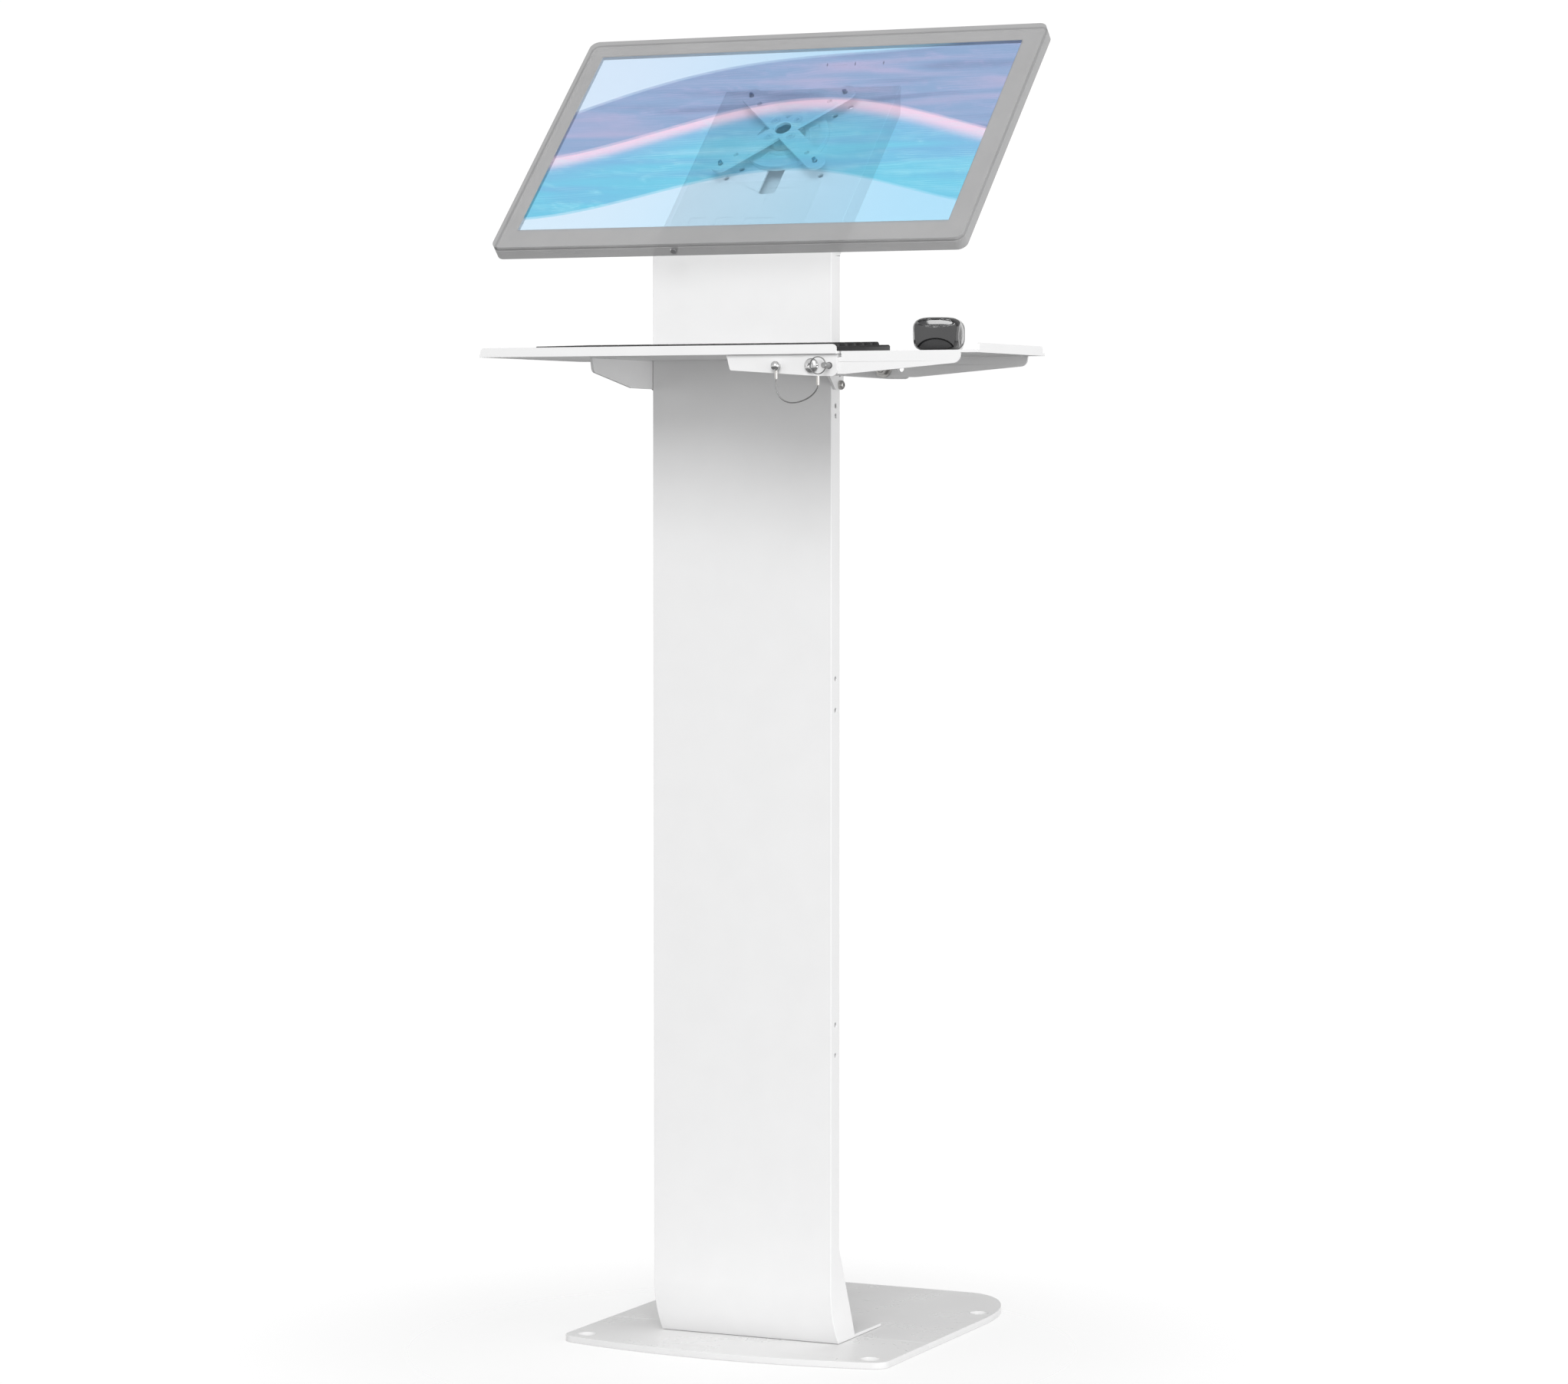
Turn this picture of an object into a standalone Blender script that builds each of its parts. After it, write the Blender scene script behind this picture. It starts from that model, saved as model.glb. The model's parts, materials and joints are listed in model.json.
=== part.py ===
"""Free-standing touchscreen kiosk: two-piece floor plate, bent sheet column, swivelling screen and tray."""
import math

import bmesh
import bpy
from mathutils import Matrix, Vector
from mathutils.geometry import tessellate_polygon

MM = 0.001

# Floor plate
BASE_T = 6.0
BASE_HALF_W = 170.0
BASE_FRONT_Y = -70.0
BASE_BOW = 17.5
BASE_REAR_Y = 328.5
BASE_SEAM_Y = 61.7
BASE_FRONT_R = 16.0
BASE_REAR_RX = 70.0
BASE_REAR_RY = 125.0
ANCHOR_X = 149.5
ANCHOR_REAR_X = 153.0
ANCHOR_FRONT_Y = -33.5
ANCHOR_REAR_Y = 227.0
ANCHOR_R = 4.5
ANCHOR_SINK_R = 9.5

# Column and head
COL_HALF_W = 94.0
COL_DEPTH = 20.0
COL_WALL = 3.0
FOOT_Z = BASE_T + 0.3
FOOT_ARC_R = 88.0
FOOT_ARC_Z = 60.0
FOOT_REAR_Y = 120.0
CHEEK_Z = 98.0
CHEEK_Y = 57.0
BEND_R = 26.0
HEAD_TILT = math.radians(45.3)
HEAD_Y = 94.6
HEAD_Z = 1172.2
HEAD_DROP = 18.6
HEAD_TOP = 80.0
SIDE_HOLES_Y = 10.5
SIDE_HOLES_Z = (902.3, 892.8, 643.8, 613.9, 314.0, 284.7)
ARM_HOLES_Z = (922.0, 932.5)
ARM_HOLE_Y = 13.0
FOOT_BOLT_X = 68.0
FOOT_BOLT_Y = (44.0, 92.0)

# Screen
SCREEN_W = 450.6
SCREEN_H = 256.4
SCREEN_V = -29.3
BEZEL_SIDE = 20.5
BEZEL_TOP = 24.0
BEZEL_BOTTOM = 24.9
SCREEN_FACE = 16.4
SCREEN_BACK = 1.0
SCREEN_CORNER_R = 9.0
BUTTON_X = -52.0
GAP = 0.3

# Tray
TRAY_Z = 946.5
TRAY_T = 2.4
TRAY_HALF_W = 182.5
TRAY_FRONT_Y = -185.0
TRAY_REAR_Y = 23.5
LIP_H = 8.6
FRAME_FRONT_Y = -181.5
FRAME_REAR_Y = -14.0
FRAME_T = 2.0
FRAME_LEFT_X = 71.0
FRAME_RIGHT_X = 181.0
PIVOT_X = 156.0
PIVOT_Z = 936.0
PIN_X = 173.3
WING_LEFT_X = 184.0
WING_RIGHT_X = 316.5

# Lanyard and ring
STUD_X = 122.0
RING_R = 7.7
RING_Y = 189.0

# Keyboard and scanner
KEY_LEFT_X = -140.0
KEY_RIGHT_X = 179.0
KEY_FRONT_Y = -181.0
KEY_REAR_Y = -52.0
SCAN_X = 252.0
SCAN_Y = -122.0
SCAN_TURN = math.radians(15.0)


def plane_z(point, w):
    """Map a plan-view point and a height to space."""
    return Vector((point[0], point[1], w))


def plane_y(point, w):
    """Map a front-view point and a distance towards the front to space."""
    return Vector((point[0], -w, point[1]))


def plane_x(point, w):
    """Map a side-view point and a distance to the right to space."""
    return Vector((w, point[0], point[1]))


def plane_head(point, w):
    """Map a point on the tilted head face and a distance along its normal to space."""
    s, c = math.sin(HEAD_TILT), math.cos(HEAD_TILT)
    return Vector((point[0], HEAD_Y + point[1] * s - w * c, HEAD_Z + point[1] * c + w * s))


def circle(cx, cy, radius, count=24):
    """Return a counter-clockwise ring of points."""
    step = math.tau / count
    return [(cx + radius * math.cos(i * step), cy + radius * math.sin(i * step)) for i in range(count)]


def fillet(corners, seg=6):
    """Round each (x, y, radius) corner of a polygon with an arc."""
    out = []
    total = len(corners)
    for i, (x, y, radius) in enumerate(corners):
        here = Vector((x, y))
        back = (Vector(corners[i - 1][:2]) - here).normalized()
        ahead = (Vector(corners[(i + 1) % total][:2]) - here).normalized()
        if radius <= 0.0:
            out.append((x, y))
            continue
        half = back.angle(ahead) / 2.0
        centre = here + (back + ahead).normalized() * (radius / math.sin(half))
        start = here + back * (radius / math.tan(half)) - centre
        turn = math.pi - 2.0 * half
        sign = 1.0 if back.x * ahead.y - back.y * ahead.x < 0.0 else -1.0
        base = math.atan2(start.y, start.x)
        for k in range(seg + 1):
            ang = base + sign * turn * k / seg
            out.append((centre.x + radius * math.cos(ang), centre.y + radius * math.sin(ang)))
    return out


def box_outline(x0, x1, y0, y1, radius=0.0, seg=6):
    """Return a rectangle outline, rounded at its corners when a radius is given."""
    return fillet([(x0, y0, radius), (x1, y0, radius), (x1, y1, radius), (x0, y1, radius)], seg)


def area(loop):
    """Return the signed area of a loop."""
    return 0.5 * sum(a[0] * b[1] - b[0] * a[1] for a, b in zip(loop, loop[1:] + loop[:1]))


def prism(bm, outline, lo, hi, plane, holes=()):
    """Add an extruded outline with through holes to a mesh."""
    loops = [outline if area(outline) > 0.0 else outline[::-1]]
    loops += [hole if area(hole) < 0.0 else hole[::-1] for hole in holes]
    flat = [point for loop in loops for point in loop]
    low = [bm.verts.new(plane(point, lo) * MM) for point in flat]
    high = [bm.verts.new(plane(point, hi) * MM) for point in flat]
    start = 0
    for loop in loops:
        for i in range(len(loop)):
            a, b = start + i, start + (i + 1) % len(loop)
            bm.faces.new((low[a], low[b], high[b], high[a]))
        start += len(loop)
    if len(loops) == 1 and len(flat) == 4:
        bm.faces.new(high)
        bm.faces.new(low[::-1])
        return
    for tri in tessellate_polygon([[Vector((p[0], p[1], 0.0)) for p in loop] for loop in loops]):
        corner = [flat[i] for i in tri]
        if abs(area(corner)) < 1e-9:
            continue
        order = tri if area(corner) > 0.0 else tri[::-1]
        bm.faces.new([high[i] for i in order])
        bm.faces.new([low[i] for i in order[::-1]])


def lathe(bm, profile, centre, plane, count=24, closed=False):
    """Turn an (r, w) profile about the normal of a plane; end points at r = 0 close the body."""
    rings = []
    for radius, w in profile:
        if radius < 1e-6:
            rings.append([bm.verts.new(plane(centre, w) * MM)])
        else:
            rings.append([bm.verts.new(plane(p, w) * MM) for p in circle(centre[0], centre[1], radius, count)])
    pairs = list(zip(rings, rings[1:]))
    if closed:
        pairs.append((rings[-1], rings[0]))
    for a, b in pairs:
        for i in range(count):
            j = (i + 1) % count
            quad = [a[i % len(a)], a[j % len(a)], b[j % len(b)], b[i % len(b)]]
            corners = list(dict.fromkeys(quad))
            bm.faces.new(corners)


def finish_mesh(bm, name):
    """Turn a working mesh into mesh data with outward faces."""
    bmesh.ops.recalc_face_normals(bm, faces=bm.faces)
    mesh = bpy.data.meshes.new(name)
    bm.to_mesh(mesh)
    bm.free()
    return mesh


def material(name, colour, metallic, roughness):
    """Return a Principled material."""
    mat = bpy.data.materials.new(name)
    mat.use_nodes = True
    shader = mat.node_tree.nodes["Principled BSDF"]
    shader.inputs["Base Color"].default_value = (colour[0], colour[1], colour[2], 1.0)
    shader.inputs["Metallic"].default_value = metallic
    shader.inputs["Roughness"].default_value = roughness
    return mat


WHITE = ((0.80, 0.81, 0.81), 0.0, 0.45)
STEEL = ((0.58, 0.57, 0.55), 1.0, 0.30)
DARK = ((0.012, 0.012, 0.013), 0.0, 0.35)
RUBBER = ((0.02, 0.02, 0.02), 0.0, 0.75)
SHELL = ((0.36, 0.37, 0.38), 0.0, 0.40)
GLASS = ((0.30, 0.55, 0.68), 0.0, 0.08)
BOARD = ((0.02, 0.16, 0.07), 0.0, 0.50)


def part(name, bm, finish, pivot=(0.0, 0.0, 0.0)):
    """Make one named sub-part whose origin sits on its joint axis."""
    offset = Vector(pivot) * MM
    bmesh.ops.translate(bm, verts=bm.verts, vec=-offset)
    obj = bpy.data.objects.new(name, finish_mesh(bm, name))
    obj.location = offset
    bpy.context.scene.collection.objects.link(obj)
    obj.data.materials.append(material("mat_" + name, *finish))
    return obj


def boolean(obj, bm, name, operation="DIFFERENCE"):
    """Attach a hidden working body to a sub-part through a Boolean."""
    tool = bpy.data.objects.new(name, finish_mesh(bm, name))
    tool.hide_render = True
    tool.display_type = "WIRE"
    bpy.context.scene.collection.objects.link(tool)
    modifier = obj.modifiers.new(name, "BOOLEAN")
    modifier.operation = operation
    modifier.solver = "EXACT"
    modifier.object = tool


def screw(name, centre, plane, face, head_r, head_h, shank_r, length, finish=STEEL, sunk=False, pivot=None):
    """Make one screw: head on the outer side of a face, shank running inwards."""
    bm = bmesh.new()
    if sunk:
        profile = [(0.0, face - length), (shank_r, face - length), (shank_r, face - head_h), (head_r, face),
                   (head_r * 0.42, face), (head_r * 0.42, face - head_h * 0.6), (0.0, face - head_h * 0.6)]
    else:
        profile = [(0.0, face - length), (shank_r, face - length), (shank_r, face), (head_r, face),
                   (head_r, face + head_h * 0.45), (head_r * 0.82, face + head_h * 0.85),
                   (head_r * 0.5, face + head_h), (head_r * 0.4, face + head_h),
                   (head_r * 0.4, face + head_h * 0.45), (0.0, face + head_h * 0.45)]
    lathe(bm, profile, centre, plane, 12)
    return part(name, bm, finish, pivot or (0.0, 0.0, 0.0))


def nut(name, centre, plane, lo, hi, across, hole_r, pivot=(0.0, 0.0, 0.0)):
    """Make a hexagon nut with a round hole."""
    bm = bmesh.new()
    prism(bm, circle(centre[0], centre[1], across, 6), lo, hi, plane, [circle(centre[0], centre[1], hole_r, 24)])
    part(name, bm, STEEL, pivot)


def front_edge(x):
    """Return the bowed front edge of the floor plate at x."""
    return BASE_FRONT_Y + BASE_BOW * (x / 152.0) ** 2


def base_plates():
    """Make the two floor plates with four countersunk anchor holes."""
    bow = [(x, front_edge(x), 0.0) for x in (-140, -120, -100, -80, -60, -40, -20, 0,
                                             20, 40, 60, 80, 100, 120, 140)]
    left = (-BASE_HALF_W, front_edge(BASE_HALF_W), BASE_FRONT_R)
    right = (BASE_HALF_W, front_edge(BASE_HALF_W), BASE_FRONT_R)
    seam = BASE_SEAM_Y - 0.25
    outline = fillet([left] + bow + [right, (BASE_HALF_W, seam, 0.0), (-BASE_HALF_W, seam, 0.0)], 8)
    corner = [(BASE_HALF_W - BASE_REAR_RX * (1.0 - math.cos(a)), BASE_REAR_Y - BASE_REAR_RY * (1.0 - math.sin(a)))
              for a in (math.pi / 2 * i / 16 for i in range(17))]
    seam = BASE_SEAM_Y + 0.25
    rear = [(-BASE_HALF_W, seam), (BASE_HALF_W, seam)] + corner + [(-x, y) for x, y in reversed(corner)]
    for name, loop, anchor_x, anchor_y, bolt_y in (
            ("base_front_plate", outline, ANCHOR_X, ANCHOR_FRONT_Y, FOOT_BOLT_Y[0]),
            ("base_rear_plate", rear, ANCHOR_REAR_X, ANCHOR_REAR_Y, FOOT_BOLT_Y[1])):
        bm = bmesh.new()
        threads = [circle(x, bolt_y, 3.3, 20) for x in (-FOOT_BOLT_X, FOOT_BOLT_X)]
        prism(bm, loop, 0.0, BASE_T, plane_z, threads)
        plate = part(name, bm, WHITE)
        cut = bmesh.new()
        for x in (-anchor_x, anchor_x):
            profile = [(0.0, -2.0), (ANCHOR_R, -2.0), (ANCHOR_R, 1.4), (ANCHOR_SINK_R, BASE_T - 0.4),
                       (ANCHOR_SINK_R, BASE_T + 2.0), (0.0, BASE_T + 2.0)]
            lathe(cut, profile, (x, anchor_y), plane_z, 20)
        boolean(plate, cut, name + "_anchors")


def foot_line(radius, z):
    """Return the depth of the curved foot sheet at a height."""
    return FOOT_ARC_R - math.sqrt(radius * radius - (FOOT_ARC_Z - z) ** 2)


def head_side(v, w):
    """Return the side-view point of a head-face position."""
    p = plane_head((0.0, v), w)
    return (p.y, p.z)


def bend_corner(depth):
    """Return where the upright line and the head line meet at a depth behind the front face."""
    v = (depth - HEAD_Y - (HEAD_DROP + depth) * math.cos(HEAD_TILT)) / math.sin(HEAD_TILT)
    return head_side(v, -HEAD_DROP - depth)


def column():
    """Make the bent sheet column: curved foot, upright channel, tilted head."""
    zs = [FOOT_Z + (FOOT_ARC_Z - FOOT_Z) * i / 12 for i in range(13)]
    front = [(foot_line(FOOT_ARC_R, z), z, 0.0) for z in zs]
    corner = bend_corner(0.0)
    top = head_side(HEAD_TOP, -HEAD_DROP)
    back_w = -HEAD_DROP - COL_DEPTH
    drop_v = (top[0] - HEAD_Y + back_w * math.cos(HEAD_TILT)) / math.sin(HEAD_TILT)
    drop = head_side(drop_v, back_w)
    inner = bend_corner(COL_DEPTH)
    outline = fillet(front + [(corner[0], corner[1], BEND_R), (top[0], top[1], 0.0), (drop[0], drop[1], 0.0),
                              (inner[0], inner[1], BEND_R - COL_DEPTH), (COL_DEPTH, CHEEK_Z, 0.0),
                              (CHEEK_Y, FOOT_Z + COL_WALL, 0.0), (FOOT_REAR_Y, FOOT_Z + COL_WALL, 0.0),
                              (FOOT_REAR_Y, FOOT_Z, 0.0)], 10)
    bm = bmesh.new()
    prism(bm, outline, -COL_HALF_W, COL_HALF_W, plane_x)
    body = part("column", bm, WHITE)
    floor = FOOT_Z + COL_WALL
    zs = [floor + (FOOT_ARC_Z - floor) * i / 12 for i in range(13)]
    line = [(foot_line(FOOT_ARC_R - COL_WALL, z), z, 0.0) for z in zs]
    corner = bend_corner(COL_WALL)
    top = head_side(HEAD_TOP + 30.0, -HEAD_DROP - COL_WALL)
    cavity = fillet(line + [(corner[0], corner[1], BEND_R - COL_WALL), (top[0], top[1], 0.0),
                            (260.0, 1180.0, 0.0), (260.0, floor, 0.0)], 10)
    cut = bmesh.new()
    prism(cut, cavity, -COL_HALF_W + COL_WALL, COL_HALF_W - COL_WALL, plane_x)
    boolean(body, cut, "column_channel")
    cut = bmesh.new()
    for x in (-FOOT_BOLT_X, FOOT_BOLT_X):
        for y in FOOT_BOLT_Y:
            prism(cut, circle(x, y, 3.5, 20), FOOT_Z - 1.0, floor + 1.0, plane_z)
    for side in (-1.0, 1.0):
        lo, hi = sorted((side * (COL_HALF_W + 2.0), side * (COL_HALF_W - COL_WALL - 2.0)))
        for z in SIDE_HOLES_Z:
            prism(cut, circle(SIDE_HOLES_Y, z, 2.2, 12), lo, hi, plane_x)
        for z in ARM_HOLES_Z:
            prism(cut, circle(ARM_HOLE_Y, z, 2.8, 16), lo, hi, plane_x)
    lo, hi = -HEAD_DROP - COL_WALL - 2.0, -HEAD_DROP + 2.0
    for size in (50.0, 37.5):
        for sx in (-1.0, 1.0):
            for sv in (-1.0, 1.0):
                prism(cut, circle(sx * size, sv * size, 2.7, 12), lo, hi, plane_head)
    slot = [(-9.0, -74.0, 4.0), (9.0, -74.0, 4.0), (9.0, -9.0, 0.0), (-9.0, -9.0, 0.0)]
    slot_loop = fillet(slot, 6)
    arc = [(13.0 * math.cos(a), 13.0 * math.sin(a)) for a in
           [math.radians(-46.2 + 272.4 * i / 24) for i in range(25)]]
    keyhole = slot_loop[:14] + arc
    prism(cut, keyhole, lo, hi, plane_head)
    boolean(body, cut, "column_holes")


def column_fittings():
    """Make foot bolts, cross bars, rear cover, cover screws, inlet and the slot grommet."""
    index = 1
    for y in FOOT_BOLT_Y:
        for x in (-FOOT_BOLT_X, FOOT_BOLT_X):
            screw("foot_bolt_%d" % index, (x, y), plane_z, FOOT_Z + COL_WALL + 0.05, 6.0, 4.0, 3.0, 8.5)
            index += 1
    for name, z in (("cross_bar_upper", 628.85), ("cross_bar_lower", 299.35)):
        bm = bmesh.new()
        hole = [circle(0.0, z, 2.3, 16)]
        prism(bm, box_outline(-90.7, 90.7, z - 9.0, z + 9.0, 2.0, 3), -13.7, -5.7, plane_y, hole)
        part(name, bm, STEEL)
    bm = bmesh.new()
    holes = [circle(0.0, z, 2.3, 16) for z in (628.85, 299.35)]
    holes += [box_outline(-30.0, 30.0, 900.0 + 12.0 * i, 904.0 + 12.0 * i) for i in range(4)]
    holes.append(box_outline(-14.0, 14.0, 136.0, 156.0, 1.5, 3))
    prism(bm, box_outline(-90.7, 90.7, 112.0, 1020.0, 3.0, 4), -16.0, -14.0, plane_y, holes)
    part("rear_cover", bm, WHITE)
    bm = bmesh.new()
    prism(bm, box_outline(-90.7, 90.7, -132.0, 63.0, 2.0, 3), -34.0, -32.4, plane_head)
    part("head_cover", bm, WHITE)
    for name, z in (("cover_screw_upper", 628.85), ("cover_screw_lower", 299.35)):
        bm = bmesh.new()
        profile = [(0.0, -7.0), (1.9, -7.0), (1.9, -16.05), (4.0, -16.05), (4.0, -17.4), (2.6, -18.6),
                   (1.4, -18.6), (1.4, -17.2), (0.0, -17.2)]
        lathe(bm, profile, (0.0, z), plane_y, 20)
        part(name, bm, STEEL)
    bm = bmesh.new()
    prism(bm, box_outline(-13.6, 13.6, 136.4, 155.6, 1.2, 3), -17.0, -6.0, plane_y)
    inlet = part("power_inlet", bm, RUBBER)
    cut = bmesh.new()
    prism(cut, box_outline(-17.0, 17.0, 132.0, 160.0, 1.5, 3), -18.2, -16.3, plane_y)
    boolean(inlet, cut, "power_inlet_flange", "UNION")
    cut = bmesh.new()
    prism(cut, box_outline(-10.5, 10.5, 139.0, 153.0, 1.2, 3), -22.0, -9.0, plane_y)
    boolean(inlet, cut, "power_inlet_socket")
    bm = bmesh.new()
    prism(bm, circle(0.0, 0.0, 12.6, 32), -21.5, -18.8, plane_head, [circle(0.0, 0.0, 11.4, 32)])
    part("head_bushing", bm, RUBBER)


def head_group():
    """Make the swivel plate, hub, retainer, X bracket and its screws."""
    bm = bmesh.new()
    prism(bm, circle(0.0, 0.0, 42.0, 48), -HEAD_DROP + GAP, -12.7, plane_head, [circle(0.0, 0.0, 11.3, 32)])
    plate = part("swivel_plate", bm, WHITE)
    cut = bmesh.new()
    for k in range(4):
        mid = math.pi / 2.0 * k
        angles = [mid + math.radians(-33.0 + 66.0 * i / 10) for i in range(11)]
        loop = [(23.0 * math.cos(a), 23.0 * math.sin(a)) for a in angles]
        loop += [(34.0 * math.cos(a), 34.0 * math.sin(a)) for a in angles[::-1]]
        prism(cut, loop, -15.6, -11.0, plane_head)
    boolean(plate, cut, "swivel_windows")
    axis = (0.0, HEAD_Y, HEAD_Z)
    bm = bmesh.new()
    profile = [(8.3, -26.4), (10.8, -26.4), (10.8, -12.4), (19.5, -12.4), (19.5, -3.3), (8.3, -3.3)]
    lathe(bm, profile, (0.0, 0.0), plane_head, 28, True)
    hub = part("swivel_hub", bm, STEEL, axis)
    cut = bmesh.new()
    for x in (-11.8, 11.8):
        for v in (-11.8, 11.8):
            prism(cut, circle(x, v, 2.1, 14), -10.5, -2.0, plane_head)
    boolean(hub, cut, "swivel_hub_threads")
    nut("swivel_retainer", (0.0, 0.0), plane_head, -25.6, -21.9, 18.5, 11.1, axis)
    half = 10.0
    loop = []
    for k in range(4):
        turn = math.pi / 2.0 * k
        base = math.pi / 4.0 + turn
        inner = (half * math.sqrt(2.0) * math.cos(turn), half * math.sqrt(2.0) * math.sin(turn))
        loop.append(inner)
        cx, cy = 50.0 * math.sqrt(2.0) * math.cos(base), 50.0 * math.sqrt(2.0) * math.sin(base)
        loop += [(cx + half * math.cos(base + math.radians(a)), cy + half * math.sin(base + math.radians(a)))
                 for a in range(-90, 91, 15)]
    holes = [circle(0.0, 0.0, 8.3, 32)]
    for size in (50.0, 37.5):
        holes += [circle(sx * size, sv * size, 2.6, 12) for sx in (-1.0, 1.0) for sv in (-1.0, 1.0)]
    bm = bmesh.new()
    prism(bm, loop, -3.0, 0.0, plane_head, holes)
    bracket = part("x_bracket", bm, WHITE, axis)
    cut = bmesh.new()
    for x in (-11.8, 11.8):
        for v in (-11.8, 11.8):
            sink = [(0.0, -5.0), (2.3, -5.0), (2.3, -2.5), (5.1, 0.0), (5.1, 2.0), (0.0, 2.0)]
            lathe(cut, sink, (x, v), plane_head, 14)
    boolean(bracket, cut, "x_bracket_sinks")
    index = 1
    for v in (11.8, -11.8):
        for x in (-11.8, 11.8):
            screw("bracket_screw_%d" % index, (x, v), plane_head, -0.25, 4.6, 2.3, 1.9, 9.0, STEEL, True, axis)
            index += 1

    def behind(point, w):
        return plane_head(point, -w)

    index = 1
    for v in (50.0, -50.0):
        for x in (-50.0, 50.0):
            screw("vesa_screw_%d" % index, (x, v), behind, 3.1, 4.0, 2.6, 1.9, 6.0, STEEL, False, axis)
            index += 1


def monitor():
    """Make the screen: bezel, touch glass, panel, shell, board and power button."""
    axis = (0.0, HEAD_Y, HEAD_Z)
    half_w = SCREEN_W / 2.0 + BEZEL_SIDE
    low = SCREEN_V - SCREEN_H / 2.0 - BEZEL_BOTTOM
    high = SCREEN_V + SCREEN_H / 2.0 + BEZEL_TOP
    rim = box_outline(-half_w, half_w, low, high, SCREEN_CORNER_R, 8)

    def window(grow):
        x = SCREEN_W / 2.0 + grow
        return box_outline(-x, x, SCREEN_V - SCREEN_H / 2.0 - grow, SCREEN_V + SCREEN_H / 2.0 + grow)

    bm = bmesh.new()
    prism(bm, rim, 12.0, SCREEN_FACE, plane_head, [window(GAP)])
    part("screen_bezel", bm, SHELL, axis)
    bm = bmesh.new()
    prism(bm, window(0.0), 13.6, SCREEN_FACE - 0.2, plane_head)
    part("touch_glass", bm, GLASS, axis)
    bm = bmesh.new()
    prism(bm, window(-0.5), 8.4, 13.3, plane_head)
    part("lcd_panel", bm, DARK, axis)
    bm = bmesh.new()
    prism(bm, rim, SCREEN_BACK, 11.7, plane_head)
    shell = part("screen_back_shell", bm, SHELL, axis)
    cut = bmesh.new()
    prism(cut, box_outline(-half_w + 3.0, half_w - 3.0, low + 3.0, high - 3.0, 6.0, 6), 3.2, 14.0, plane_head)
    boolean(shell, cut, "shell_pocket")
    cut = bmesh.new()
    prism(cut, circle(0.0, 0.0, 9.0, 28), -1.0, 5.0, plane_head)
    for x in (-50.0, 50.0):
        for v in (-50.0, 50.0):
            prism(cut, circle(x, v, 2.2, 14), -1.0, 5.0, plane_head)
    for i in range(7):
        x = -90.0 + 30.0 * i
        prism(cut, box_outline(x - 11.0, x + 11.0, 88.0, 92.0), -1.0, 5.0, plane_head)
    boolean(shell, cut, "shell_holes")

    def below(point, w):
        return plane_head((point[0], low - w), point[1])

    cut = bmesh.new()
    prism(cut, circle(BUTTON_X, 6.8, 3.4, 24), -5.0, 2.0, below)
    boolean(shell, cut, "shell_button_hole")
    bm = bmesh.new()
    profile = [(0.0, -4.6), (3.0, -4.6), (3.0, 0.7), (2.6, 1.0), (0.0, 1.0)]
    lathe(bm, profile, (BUTTON_X, 6.8), below, 24)
    part("power_button", bm, DARK, tuple(below((BUTTON_X, 6.8), 0.0)))
    bm = bmesh.new()
    prism(bm, box_outline(-70.0, 70.0, -156.0, -84.0, 3.0, 3), 4.2, 5.8, plane_head)
    board = part("main_board", bm, BOARD, axis)
    for i, (x, v, w, h) in enumerate(((-50.0, -150.0, 16.0, 14.0), (-22.0, -150.0, 16.0, 14.0),
                                      (8.0, -150.0, 30.0, 12.0), (20.0, -118.0, 22.0, 22.0))):
        cut = bmesh.new()
        prism(cut, box_outline(x, x + w, v, v + h), 5.0, 7.9, plane_head)
        boolean(board, cut, "board_block_%d" % i, "UNION")


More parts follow.
